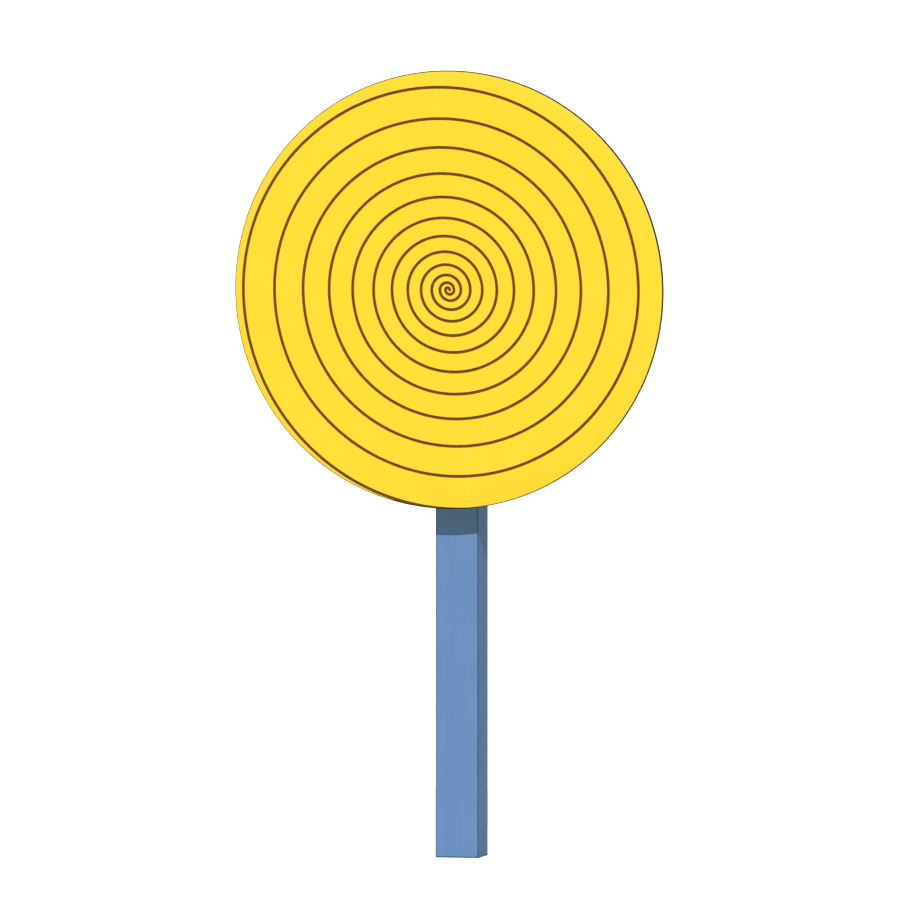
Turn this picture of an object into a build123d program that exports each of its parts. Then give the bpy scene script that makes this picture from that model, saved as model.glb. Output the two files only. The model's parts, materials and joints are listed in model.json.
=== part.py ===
"""Spinning spiral disc on a post, a piece of play equipment.

A compact laminate disc turns on a ball-bearing hub in front of a square timber post.
Millimetres. The origin is the centre of the post's foot, +Z is up, and the disc faces -Y.
"""

from build123d import *
from math import sqrt
import os

os.makedirs("parts", exist_ok=True)

# ---------------------------------------------------------------- driving dimensions

# Post
POST_SIDE = 90.0
POST_HEIGHT = 1300.0
POST_EDGE_ROUND = 1.5
AXLE_HEIGHT = 1172.0

# Disc
DISC_RADIUS = 450.0
DISC_THICKNESS = 10.0
DECOR_THICKNESS = 0.5
DISC_EDGE_CHAMFER = 2.0  # cuts through the decor layer, so the core shows as a line around it
DISC_TO_POST = 76.0  # from the disc's front face to the post's front face

# Spiral groove, cut with a 6 mm router bit: half-circles that end on the disc's level diameter
GROOVE_WIDTH = 6.0
GROOVE_DEPTH = 2.0
FIRST_CROSSING = 2
LAST_CROSSING = 26
CROSSING_BASE = -1.0
CROSSING_STEP = 0.45
CROSSING_GROWTH = 0.675

# Ball bearings, 25 x 52 x 15
BEARING_BORE = 25.0
BEARING_OUTSIDE = 52.0
BEARING_WIDTH = 15.0
INNER_RING_OUTSIDE = 32.4
OUTER_RING_INSIDE = 45.2
BALL_PITCH = 39.0
BALL_DIAMETER = 7.8
BALL_COUNT = 9
RACE_RADIUS = 4.1
RING_EDGE_ROUND = 1.0
CAGE_INSIDE = 36.4
CAGE_OUTSIDE = 41.6
CAGE_HALF_WIDTH = 5.0
CAGE_POCKET_RADIUS = 3.95
SEAL_THICKNESS = 1.2
SEAL_INSET = 0.5
SEAL_INNER_RADIUS = 16.6
SEAL_OUTER_RADIUS = 22.55

# Hub
HUB_OUTSIDE = 72.0
HUB_FLANGE_DIAMETER = 210.0
HUB_FLANGE_THICKNESS = 8.0
HUB_FILLET = 6.0
HUB_RIB_INSIDE = 46.0
HUB_RIB_WIDTH = 8.0
HUB_REAR_GAP = 3.5
HUB_EDGE_CHAMFER = 1.0
FLANGE_BOLT_CIRCLE = 180.0
FLANGE_BOLT_COUNT = 6
FLANGE_HOLE = 9.0
INSERT_OUTSIDE = 12.0
INSERT_LENGTH = 6.5

# Circlips for the 52 mm bore
CIRCLIP_THICKNESS = 2.0
CIRCLIP_GROOVE = 55.0
CIRCLIP_GROOVE_WIDTH = 2.15
CIRCLIP_OUTSIDE = 54.8
CIRCLIP_INSIDE = 46.4
CIRCLIP_GAP = 9.0
CIRCLIP_EYE = 2.5
CIRCLIP_LUG_RADIUS = 2.6
CIRCLIP_LUG_INSET = 0.6
CIRCLIP_LUG_FROM_GAP = 2.2

# Axle
AXLE_SHOULDER = 32.0
AXLE_SHOULDER_LENGTH = 8.0
AXLE_SPIGOT = 30.0
AXLE_THREAD_END = 63.0
AXLE_TAB_SLOT_WIDTH = 5.2
AXLE_TAB_SLOT_DEPTH = 2.2
AXLE_END_CHAMFER = 1.0
SLIDING_GAP = 0.2  # radial gap of the loose rings on the axle

# Lock nut and its tab washer
LOCK_WASHER_THICKNESS = 1.25
LOCK_WASHER_OUTSIDE = 37.0
LOCK_WASHER_TEETH = 13
LOCK_WASHER_TOOTH_LENGTH = 5.8
LOCK_WASHER_TOOTH_WIDTH = 3.6
LOCK_WASHER_RING_INSET = 3.0
LOCK_WASHER_TAB_DROP = 0.6
LOCK_WASHER_TAB_HEIGHT = 2.2
LOCK_WASHER_TAB_PLAY = 0.4
LOCK_NUT_THICKNESS = 7.0
LOCK_NUT_OUTSIDE = 38.0
LOCK_NUT_SLOTS = 4
LOCK_NUT_SLOT_WIDTH = 5.0
LOCK_NUT_SLOT_DEPTH = 2.0

# Rubber axle seal, measured out from the axle's shoulder
SEAL_BODY_WIDTH = 2.4
SEAL_BODY_REACH = 5.0
SEAL_FOOT_WIDTH = 1.2
SEAL_LIP_LENGTH = 0.7
SEAL_LIP_ROOT = 3.0
SEAL_LIP_INSIDE = 6.0
SEAL_LIP_OUTSIDE = 7.0

# Axle plate and its bolts
PLATE_WIDTH = 84.0
PLATE_HEIGHT = 170.0
PLATE_THICKNESS = 8.0
PLATE_CORNER = 8.0
PLATE_EDGE_CHAMFER = 1.0
PLATE_BOLT_X = 50.0
PLATE_BOLT_Z = 130.0
PLATE_BOLT = 10.0
PLATE_BOLT_HOLE = 11.0

# Fasteners
HEX_CHAMFER_SLOPE = 0.577
HEX_FACE_SHARE = 0.475  # radius of a head's flat top as a share of its width across flats
BOLT_POINT_SHARE = 0.1
WASHER_EDGE_SHARE = 1 / 6
PLATE_BOLT_FLATS = 17.0
PLATE_BOLT_HEAD = 6.4
PLATE_WASHER = 2.0
PLATE_WASHER_OUTSIDE = 20.0
REAR_WASHER = 3.0
REAR_WASHER_OUTSIDE = 34.0
DOME_NUT_HEX = 8.0
DOME_NUT_HEIGHT = 18.0
DOME_NUT_BORE = 12.0
DOME_NUT_STEP = 0.5
DOME_NUT_ROOM = 1.0
FLANGE_BOLT = 8.0
FLANGE_BOLT_FLATS = 13.0
FLANGE_BOLT_HEAD = 5.3
FLANGE_BOLT_LENGTH = 16.0
FLANGE_WASHER = 1.6
FLANGE_WASHER_OUTSIDE = 16.0
WASHER_PLAY = 0.5
SCREW_HEAD = 10.0
SCREW_SHANK = 4.0
SCREW_LENGTH = 45.0
SCREW_SUNK = 0.5
SCREW_POINT = 6.0
SCREW_SOCKET_FLOOR = 0.8
SCREW_HOLE_PLAY = 0.5

# Foot
FOOT_PLATE_SIDE = 78.0
FOOT_PLATE_THICKNESS = 12.0
FOOT_HOLE_SPACING = 52.0
FOOT_HOLE = 12.0
ANCHOR_BAR = 20.0
ANCHOR_BAR_LENGTH = 220.0
ANCHOR_RIB_PITCH = 11.0
ANCHOR_RIB_DEPTH = 0.6
ANCHOR_RIB_WIDTH = 2.5
ANCHOR_GLUE_GAP = 1.0
ANCHOR_HOLE_ROOM = 5.0

# Cap
CAP_SIDE = 96.0
CAP_WALL = 2.5
CAP_SKIRT = 18.0
CAP_RISE = 9.0
CAP_FLAT = 30.0
CAP_CORNER = 3.0

FIT_GAP = 0.05  # radial gap where two round pieces are fitted together
CUT_MARGIN = 1.0  # how far a cutter stands out of the face that it cuts


# ---------------------------------------------------------------- places along the axle

POST_FRONT_Y = -POST_SIDE / 2
DISC_FRONT_Y = POST_FRONT_Y - DISC_TO_POST
DISC_BACK_Y = DISC_FRONT_Y + DISC_THICKNESS
PLATE_FRONT_Y = POST_FRONT_Y - PLATE_THICKNESS
REAR_BEARING_BACK_Y = PLATE_FRONT_Y - AXLE_SHOULDER_LENGTH
REAR_BEARING_FRONT_Y = REAR_BEARING_BACK_Y - BEARING_WIDTH
FRONT_BEARING_BACK_Y = REAR_BEARING_FRONT_Y - HUB_RIB_WIDTH
FRONT_BEARING_FRONT_Y = FRONT_BEARING_BACK_Y - BEARING_WIDTH
LOCK_NUT_BACK_Y = FRONT_BEARING_FRONT_Y - LOCK_WASHER_THICKNESS
LOCK_NUT_FRONT_Y = LOCK_NUT_BACK_Y - LOCK_NUT_THICKNESS
AXLE_END_Y = POST_FRONT_Y - AXLE_THREAD_END
HUB_REAR_Y = PLATE_FRONT_Y - HUB_REAR_GAP
HUB_FRONT_Y = DISC_BACK_Y
FLANGE_REAR_Y = HUB_FRONT_Y + HUB_FLANGE_THICKNESS


def across(y):
    """Plane square to the axle at y: local x is +X, local y is +Z, and the normal is -Y."""
    return Plane(origin=(0, y, AXLE_HEIGHT), x_dir=(1, 0, 0), z_dir=(0, -1, 0))


# Profiles of turned pieces are drawn on this plane: local x is the radius, local y is +Y.
TURNING = Plane(origin=(0, 0, AXLE_HEIGHT), x_dir=(1, 0, 0), z_dir=(0, 0, 1))
AXLE_LINE = Axis((0, 0, AXLE_HEIGHT), (0, 1, 0))


def save(builder, name):
    """Label a finished piece and write its STEP file."""
    builder.part.label = name
    export_step(builder.part, f"parts/{name}.step")


# ---------------------------------------------------------------- the spiral

def crossing(index):
    """Signed x of the groove's centre line where it crosses the diameter: even right, odd left."""
    radius = CROSSING_BASE + CROSSING_STEP * index + CROSSING_GROWTH * index**2
    return radius if index % 2 == 0 else -radius


def half_turn(index, side):
    """One half-circle of a groove edge; side is +1 for the outer edge and -1 for the inner one."""
    start = crossing(index)
    end = crossing(index + 1)
    start += side * (GROOVE_WIDTH / 2) * (1 if start > 0 else -1)
    end += side * (GROOVE_WIDTH / 2) * (1 if end > 0 else -1)
    above = 1 if index % 2 == 0 else -1
    middle = ((start + end) / 2, above * abs(end - start) / 2)
    return ThreePointArc((start, 0), middle, (end, 0))


with BuildPart() as groove_cutter:
    with BuildSketch(across(DISC_FRONT_Y - CUT_MARGIN)):
        with BuildLine():
            for turn in range(FIRST_CROSSING, LAST_CROSSING):
                half_turn(turn, 1)
                half_turn(turn, -1)
            for x_end, bulge in ((crossing(FIRST_CROSSING), -1), (crossing(LAST_CROSSING), 1)):
                ThreePointArc(
                    (x_end - GROOVE_WIDTH / 2, 0),
                    (x_end, bulge * GROOVE_WIDTH / 2),
                    (x_end + GROOVE_WIDTH / 2, 0),
                )
        make_face()
    extrude(amount=-(GROOVE_DEPTH + CUT_MARGIN))

# ---------------------------------------------------------------- disc

DECOR_BACK_Y = DISC_FRONT_Y + DECOR_THICKNESS
REAR_DECOR_Y = DISC_BACK_Y - DECOR_THICKNESS
INSERT_START_Y = DISC_BACK_Y - INSERT_LENGTH
CORE_CHAMFER = DISC_EDGE_CHAMFER - DECOR_THICKNESS

with BuildPart() as disc_front_face:
    with BuildSketch(TURNING):
        with BuildLine():
            Polyline(
                (0, DISC_FRONT_Y),
                (DISC_RADIUS - DISC_EDGE_CHAMFER, DISC_FRONT_Y),
                (DISC_RADIUS - CORE_CHAMFER, DECOR_BACK_Y),
                (0, DECOR_BACK_Y),
                close=True,
            )
        make_face()
    revolve(axis=AXLE_LINE)
    add(groove_cutter.part, mode=Mode.SUBTRACT)
save(disc_front_face, "disc_front_face")

with BuildPart() as disc_core:
    with BuildSketch(TURNING):
        with BuildLine():
            Polyline(
                (0, DECOR_BACK_Y),
                (DISC_RADIUS - CORE_CHAMFER, DECOR_BACK_Y),
                (DISC_RADIUS, DECOR_BACK_Y + CORE_CHAMFER),
                (DISC_RADIUS, REAR_DECOR_Y - CORE_CHAMFER),
                (DISC_RADIUS - CORE_CHAMFER, REAR_DECOR_Y),
                (0, REAR_DECOR_Y),
                close=True,
            )
        make_face()
    revolve(axis=AXLE_LINE)
    add(groove_cutter.part, mode=Mode.SUBTRACT)
    with BuildSketch(across(REAR_DECOR_Y)):
        with PolarLocations(FLANGE_BOLT_CIRCLE / 2, FLANGE_BOLT_COUNT):
            Circle(INSERT_OUTSIDE / 2 + FIT_GAP)
    extrude(amount=REAR_DECOR_Y - INSERT_START_Y, mode=Mode.SUBTRACT)
save(disc_core, "disc_core")

with BuildPart() as disc_rear_face:
    with BuildSketch(TURNING):
        with BuildLine():
            Polyline(
                (0, REAR_DECOR_Y),
                (DISC_RADIUS - CORE_CHAMFER, REAR_DECOR_Y),
                (DISC_RADIUS - DISC_EDGE_CHAMFER, DISC_BACK_Y),
                (0, DISC_BACK_Y),
                close=True,
            )
        make_face()
    revolve(axis=AXLE_LINE)
    with BuildSketch(across(DISC_BACK_Y)):
        with PolarLocations(FLANGE_BOLT_CIRCLE / 2, FLANGE_BOLT_COUNT):
            Circle(INSERT_OUTSIDE / 2 + FIT_GAP)
    extrude(amount=DECOR_THICKNESS, mode=Mode.SUBTRACT)
save(disc_rear_face, "disc_rear_face")

with BuildPart() as disc_inserts:
    with BuildSketch(across(DISC_BACK_Y)):
        with PolarLocations(FLANGE_BOLT_CIRCLE / 2, FLANGE_BOLT_COUNT):
            Circle(INSERT_OUTSIDE / 2)
            Circle(FLANGE_BOLT / 2 + FIT_GAP, mode=Mode.SUBTRACT)
    extrude(amount=INSERT_LENGTH)
save(disc_inserts, "disc_inserts")

# ---------------------------------------------------------------- hub

FRONT_GROOVE_FAR_Y = FRONT_BEARING_FRONT_Y - CIRCLIP_GROOVE_WIDTH
REAR_GROOVE_FAR_Y = REAR_BEARING_BACK_Y + CIRCLIP_GROOVE_WIDTH

with BuildPart() as hub:
    with BuildSketch(TURNING):
        with BuildLine():
            Polyline(
                (BEARING_OUTSIDE / 2, HUB_FRONT_Y),
                (HUB_FLANGE_DIAMETER / 2, HUB_FRONT_Y),
                (HUB_FLANGE_DIAMETER / 2, FLANGE_REAR_Y),
                (HUB_OUTSIDE / 2, FLANGE_REAR_Y),
                (HUB_OUTSIDE / 2, HUB_REAR_Y),
                (BEARING_OUTSIDE / 2, HUB_REAR_Y),
                (BEARING_OUTSIDE / 2, REAR_GROOVE_FAR_Y),
                (CIRCLIP_GROOVE / 2, REAR_GROOVE_FAR_Y),
                (CIRCLIP_GROOVE / 2, REAR_BEARING_BACK_Y),
                (BEARING_OUTSIDE / 2, REAR_BEARING_BACK_Y),
                (BEARING_OUTSIDE / 2, REAR_BEARING_FRONT_Y),
                (HUB_RIB_INSIDE / 2, REAR_BEARING_FRONT_Y),
                (HUB_RIB_INSIDE / 2, FRONT_BEARING_BACK_Y),
                (BEARING_OUTSIDE / 2, FRONT_BEARING_BACK_Y),
                (BEARING_OUTSIDE / 2, FRONT_BEARING_FRONT_Y),
                (CIRCLIP_GROOVE / 2, FRONT_BEARING_FRONT_Y),
                (CIRCLIP_GROOVE / 2, FRONT_GROOVE_FAR_Y),
                (BEARING_OUTSIDE / 2, FRONT_GROOVE_FAR_Y),
                close=True,
            )
        make_face()
    revolve(axis=AXLE_LINE)
    hub_circles = hub.edges().filter_by(GeomType.CIRCLE)
    inside_corner = hub_circles.filter_by(
        lambda edge: abs(edge.radius - HUB_OUTSIDE / 2) < 0.01
        and abs(edge.arc_center.Y - FLANGE_REAR_Y) < 0.01
    )
    fillet(inside_corner, HUB_FILLET)
    rim_edges = hub.edges().filter_by(GeomType.CIRCLE).filter_by(
        lambda edge: abs(edge.radius - HUB_FLANGE_DIAMETER / 2) < 0.01
    )
    chamfer(rim_edges, HUB_EDGE_CHAMFER)
    with BuildSketch(across(HUB_FRONT_Y)):
        with PolarLocations(FLANGE_BOLT_CIRCLE / 2, FLANGE_BOLT_COUNT):
            Circle(FLANGE_HOLE / 2)
    extrude(amount=-HUB_FLANGE_THICKNESS, mode=Mode.SUBTRACT)
save(hub, "hub")


def circlip(y_bearing, outward):
    """Internal circlip against the bearing face at y_bearing; outward is the way it lies from it."""
    eye_radius = CIRCLIP_INSIDE / 2 - CIRCLIP_LUG_INSET
    with BuildPart() as clip:
        with BuildSketch(across(y_bearing)):
            Circle(CIRCLIP_OUTSIDE / 2)
            Circle(CIRCLIP_INSIDE / 2, mode=Mode.SUBTRACT)
            with Locations((0, CIRCLIP_OUTSIDE / 2)):
                Rectangle(CIRCLIP_GAP, CIRCLIP_OUTSIDE / 2, mode=Mode.SUBTRACT)
            for side in (-1, 1):
                with Locations((side * (CIRCLIP_GAP / 2 + CIRCLIP_LUG_FROM_GAP), eye_radius)):
                    Circle(CIRCLIP_LUG_RADIUS)
                    Circle(CIRCLIP_EYE / 2, mode=Mode.SUBTRACT)
        extrude(amount=-outward * CIRCLIP_THICKNESS)
    return clip


for clip_name, clip_y, clip_way in (
    ("front_circlip", FRONT_BEARING_FRONT_Y, -1),
    ("rear_circlip", REAR_BEARING_BACK_Y, 1),
):
    save(circlip(clip_y, clip_way), clip_name)

# ---------------------------------------------------------------- bearings


def bearing_ring(land_radius, seat_radius, y_middle):
    """Bearing ring with its ball track; the land faces the balls and the seat is its fitted side."""
    half = BEARING_WIDTH / 2
    away = 1 if seat_radius > land_radius else -1
    with BuildPart() as turned:
        with BuildSketch(TURNING):
            with BuildLine():
                Polyline(
                    (land_radius, y_middle - half),
                    (seat_radius - away * RING_EDGE_ROUND, y_middle - half),
                    (seat_radius, y_middle - half + RING_EDGE_ROUND),
                    (seat_radius, y_middle + half - RING_EDGE_ROUND),
                    (seat_radius - away * RING_EDGE_ROUND, y_middle + half),
                    (land_radius, y_middle + half),
                    close=True,
                )
            make_face()
            with Locations((BALL_PITCH / 2, y_middle)):
                Circle(RACE_RADIUS, mode=Mode.SUBTRACT)
        revolve(axis=AXLE_LINE)
    return turned


def balls(y_middle):
    """Ring of balls."""
    with BuildPart() as ball_ring:
        with Locations(across(y_middle)):
            with PolarLocations(BALL_PITCH / 2, BALL_COUNT):
                Sphere(BALL_DIAMETER / 2)
    return ball_ring


def cage(y_middle):
    """Moulded cage with a round pocket for each ball."""
    with BuildPart() as moulded:
        with BuildSketch(across(y_middle - CAGE_HALF_WIDTH)):
            Circle(CAGE_OUTSIDE / 2)
            Circle(CAGE_INSIDE / 2, mode=Mode.SUBTRACT)
        extrude(amount=-2 * CAGE_HALF_WIDTH)
        with Locations(across(y_middle)):
            with PolarLocations(BALL_PITCH / 2, BALL_COUNT):
                Cylinder(
                    CAGE_POCKET_RADIUS,
                    BALL_DIAMETER,
                    rotation=(0, 90, 0),
                    mode=Mode.SUBTRACT,
                )
    return moulded


def seals(y_middle):
    """Two rubber seals held in the outer ring, one at each side of the balls."""
    offset = BEARING_WIDTH / 2 - SEAL_INSET - SEAL_THICKNESS / 2
    with BuildPart() as pair:
        for side in (-1, 1):
            with BuildSketch(across(y_middle + side * offset - SEAL_THICKNESS / 2)):
                Circle(SEAL_OUTER_RADIUS)
                Circle(SEAL_INNER_RADIUS, mode=Mode.SUBTRACT)
            extrude(amount=-SEAL_THICKNESS)
    return pair


for bearing_name, bearing_back in (
    ("front_bearing", FRONT_BEARING_BACK_Y),
    ("rear_bearing", REAR_BEARING_BACK_Y),
):
    bearing_middle = bearing_back - BEARING_WIDTH / 2
    inner = bearing_ring(INNER_RING_OUTSIDE / 2, BEARING_BORE / 2 + FIT_GAP, bearing_middle)
    save(inner, f"{bearing_name}_inner_ring")
    outer = bearing_ring(OUTER_RING_INSIDE / 2, BEARING_OUTSIDE / 2 - FIT_GAP, bearing_middle)
    save(outer, f"{bearing_name}_outer_ring")
    save(balls(bearing_middle), f"{bearing_name}_balls")
    save(cage(bearing_middle), f"{bearing_name}_cage")
    save(seals(bearing_middle), f"{bearing_name}_seals")

# ---------------------------------------------------------------- axle and what is on it

with BuildPart() as axle_shaft:
    with BuildSketch(TURNING):
        with BuildLine():
            Polyline(
                (0, POST_FRONT_Y),
                (AXLE_SPIGOT / 2, POST_FRONT_Y),
                (AXLE_SPIGOT / 2, PLATE_FRONT_Y),
                (AXLE_SHOULDER / 2, PLATE_FRONT_Y),
                (AXLE_SHOULDER / 2, REAR_BEARING_BACK_Y),
                (BEARING_BORE / 2, REAR_BEARING_BACK_Y),
                (BEARING_BORE / 2, AXLE_END_Y + AXLE_END_CHAMFER),
                (BEARING_BORE / 2 - AXLE_END_CHAMFER, AXLE_END_Y),
                (0, AXLE_END_Y),
                close=True,
            )
        make_face()
    revolve(axis=AXLE_LINE)
    slot_length = FRONT_BEARING_FRONT_Y - AXLE_END_Y
    with BuildSketch(across(AXLE_END_Y)):
        with Locations((0, BEARING_BORE / 2 - AXLE_TAB_SLOT_DEPTH / 2)):
            Rectangle(AXLE_TAB_SLOT_WIDTH, AXLE_TAB_SLOT_DEPTH)
    extrude(amount=-slot_length, mode=Mode.SUBTRACT)
save(axle_shaft, "axle_shaft")

with BuildPart() as inner_spacer:
    with BuildSketch(across(FRONT_BEARING_BACK_Y)):
        Circle(AXLE_SHOULDER / 2)
        Circle(BEARING_BORE / 2 + SLIDING_GAP, mode=Mode.SUBTRACT)
    extrude(amount=-HUB_RIB_WIDTH)
save(inner_spacer, "inner_spacer")

TOOTH_CIRCLE = LOCK_WASHER_OUTSIDE / 2 - LOCK_WASHER_RING_INSET
with BuildPart() as lock_washer:
    with BuildSketch(across(FRONT_BEARING_FRONT_Y)):
        Circle(TOOTH_CIRCLE)
        with PolarLocations(TOOTH_CIRCLE, LOCK_WASHER_TEETH, start_angle=90):
            Rectangle(LOCK_WASHER_TOOTH_LENGTH, LOCK_WASHER_TOOTH_WIDTH)
        Circle(BEARING_BORE / 2 + SLIDING_GAP, mode=Mode.SUBTRACT)
        with Locations((0, BEARING_BORE / 2 - LOCK_WASHER_TAB_DROP)):
            Rectangle(AXLE_TAB_SLOT_WIDTH - LOCK_WASHER_TAB_PLAY, LOCK_WASHER_TAB_HEIGHT)
    extrude(amount=LOCK_WASHER_THICKNESS)
save(lock_washer, "lock_washer")

with BuildPart() as lock_nut:
    with BuildSketch(across(LOCK_NUT_BACK_Y)):
        Circle(LOCK_NUT_OUTSIDE / 2)
        Circle(BEARING_BORE / 2 + FIT_GAP, mode=Mode.SUBTRACT)
        with PolarLocations(LOCK_NUT_OUTSIDE / 2, LOCK_NUT_SLOTS, start_angle=45):
            Rectangle(2 * LOCK_NUT_SLOT_DEPTH, LOCK_NUT_SLOT_WIDTH, mode=Mode.SUBTRACT)
    extrude(amount=LOCK_NUT_THICKNESS)
save(lock_nut, "lock_nut")

SEAL_SEAT = AXLE_SHOULDER / 2
SEAL_BODY_Y = PLATE_FRONT_Y - SEAL_BODY_WIDTH
SEAL_LIP_Y = SEAL_BODY_Y - SEAL_LIP_LENGTH
with BuildPart() as axle_seal:
    with BuildSketch(TURNING):
        with BuildLine():
            Polyline(
                (SEAL_SEAT + FIT_GAP, PLATE_FRONT_Y),
                (SEAL_SEAT + SEAL_BODY_REACH, PLATE_FRONT_Y),
                (SEAL_SEAT + SEAL_BODY_REACH, PLATE_FRONT_Y - SEAL_FOOT_WIDTH),
                (SEAL_SEAT + SEAL_LIP_OUTSIDE, SEAL_LIP_Y),
                (SEAL_SEAT + SEAL_LIP_INSIDE, SEAL_LIP_Y),
                (SEAL_SEAT + SEAL_LIP_ROOT, SEAL_BODY_Y),
                (SEAL_SEAT + FIT_GAP, SEAL_BODY_Y),
                close=True,
            )
        make_face()
    revolve(axis=AXLE_LINE)
save(axle_seal, "axle_seal")

with BuildPart() as axle_plate:
    with BuildSketch(across(POST_FRONT_Y)):
        RectangleRounded(PLATE_WIDTH, PLATE_HEIGHT, PLATE_CORNER)
        Circle(AXLE_SPIGOT / 2 + FIT_GAP, mode=Mode.SUBTRACT)
        with GridLocations(PLATE_BOLT_X, PLATE_BOLT_Z, 2, 2):
            Circle(PLATE_BOLT_HOLE / 2, mode=Mode.SUBTRACT)
    extrude(amount=PLATE_THICKNESS)
    front_outline = axle_plate.faces().sort_by(Axis.Y)[0].outer_wire().edges()
    chamfer(front_outline, PLATE_EDGE_CHAMFER)
save(axle_plate, "axle_plate")

# ---------------------------------------------------------------- bolts, washers and nuts


def plate_spots():
    """The four bolt places of the axle plate."""
    return GridLocations(PLATE_BOLT_X, PLATE_BOLT_Z, 2, 2)


def flange_spots():
    """The bolt places of the hub flange."""
    return PolarLocations(FLANGE_BOLT_CIRCLE / 2, FLANGE_BOLT_COUNT)


def facing_back(y):
    """Plane square to the axle at y, with its normal towards +Y."""
    return Plane(origin=(0, y, AXLE_HEIGHT), x_dir=(1, 0, 0), z_dir=(0, 1, 0))


def hex_body(across_flats, height):
    """Hexagon standing on z = 0, its top corners turned off at 30 degrees."""
    corner = across_flats / sqrt(3)
    face_radius = HEX_FACE_SHARE * across_flats
    slope = (corner - face_radius) * HEX_CHAMFER_SLOPE
    with BuildPart() as body:
        with BuildSketch():
            RegularPolygon(corner, 6)
        extrude(amount=height)
        with BuildSketch(Plane.XZ):
            with BuildLine():
                Polyline(
                    (0, 0),
                    (corner, 0),
                    (corner, height - slope),
                    (face_radius, height),
                    (0, height),
                    close=True,
                )
            make_face()
        revolve(axis=Axis.Z, mode=Mode.INTERSECT)
    return body.part


def hex_bolt(size, across_flats, head, length):
    """Hex bolt seated on z = 0, its head upwards and its shank downwards."""
    with BuildPart() as bolt:
        add(hex_body(across_flats, head))
        with BuildSketch():
            Circle(size / 2)
        extrude(amount=-length)
        chamfer(bolt.faces().sort_by(Axis.Z)[0].edges(), size * BOLT_POINT_SHARE)
    return bolt.part


def dome_nut(size, across_flats, hex_height, height, bore_depth):
    """Domed nut standing on z = 0, with a blind bore from below."""
    dome_radius = across_flats / 2 - DOME_NUT_STEP
    with BuildPart() as nut:
        add(hex_body(across_flats, hex_height))
        with BuildSketch():
            Circle(dome_radius)
        extrude(amount=height - dome_radius)
        with Locations((0, 0, height - dome_radius)):
            Sphere(dome_radius)
        with BuildSketch(Plane.XY.offset(-dome_radius)):
            Rectangle(4 * dome_radius, 4 * dome_radius)
        extrude(amount=dome_radius, mode=Mode.SUBTRACT)
        with BuildSketch():
            Circle(size / 2 + FIT_GAP)
        extrude(amount=bore_depth, mode=Mode.SUBTRACT)
    return nut.part


def washer(outside, inside, thickness):
    """Plain washer lying on z = 0, its upper edge broken."""
    with BuildPart() as disk:
        with BuildSketch():
            Circle(outside / 2)
            Circle(inside / 2, mode=Mode.SUBTRACT)
        extrude(amount=thickness)
        upper_edges = disk.faces().sort_by(Axis.Z)[-1].edges()
        chamfer(upper_edges.sort_by(SortBy.RADIUS)[-1], thickness * WASHER_EDGE_SHARE)
    return disk.part


def save_group(piece, plane, spots, name):
    """Save copies of one fastener at each of the spots on a plane."""
    with BuildPart() as group:
        with Locations(plane):
            with spots():
                add(piece)
    save(group, name)


POST_REAR_Y = POST_SIDE / 2
NUT_SEAT_Y = POST_REAR_Y + REAR_WASHER
PLATE_BOLT_LENGTH = (
    PLATE_WASHER + PLATE_THICKNESS + POST_SIDE + REAR_WASHER + DOME_NUT_BORE - DOME_NUT_ROOM
)

plate_bolt = hex_bolt(PLATE_BOLT, PLATE_BOLT_FLATS, PLATE_BOLT_HEAD, PLATE_BOLT_LENGTH)
save_group(plate_bolt, across(PLATE_FRONT_Y - PLATE_WASHER), plate_spots, "plate_bolts")
plate_washer = washer(PLATE_WASHER_OUTSIDE, PLATE_BOLT + WASHER_PLAY, PLATE_WASHER)
save_group(plate_washer, across(PLATE_FRONT_Y), plate_spots, "plate_washers")
rear_washer = washer(REAR_WASHER_OUTSIDE, PLATE_BOLT + WASHER_PLAY, REAR_WASHER)
save_group(rear_washer, facing_back(POST_REAR_Y), plate_spots, "rear_washers")
rear_nut = dome_nut(
    PLATE_BOLT, PLATE_BOLT_FLATS, DOME_NUT_HEX, DOME_NUT_HEIGHT, DOME_NUT_BORE
)
save_group(rear_nut, facing_back(NUT_SEAT_Y), plate_spots, "rear_nuts")

flange_washer = washer(FLANGE_WASHER_OUTSIDE, FLANGE_BOLT + WASHER_PLAY, FLANGE_WASHER)
save_group(flange_washer, facing_back(FLANGE_REAR_Y), flange_spots, "flange_washers")
flange_bolt = hex_bolt(FLANGE_BOLT, FLANGE_BOLT_FLATS, FLANGE_BOLT_HEAD, FLANGE_BOLT_LENGTH)
save_group(
    flange_bolt, facing_back(FLANGE_REAR_Y + FLANGE_WASHER), flange_spots, "flange_bolts"
)

# ---------------------------------------------------------------- post and foot

SCREW_HEAD_DEPTH = (SCREW_HEAD - SCREW_SHANK) / 2
CAP_TOP_Z = POST_HEIGHT + CAP_WALL + CAP_RISE
SCREW_TOP_Z = CAP_TOP_Z - SCREW_SUNK

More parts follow.
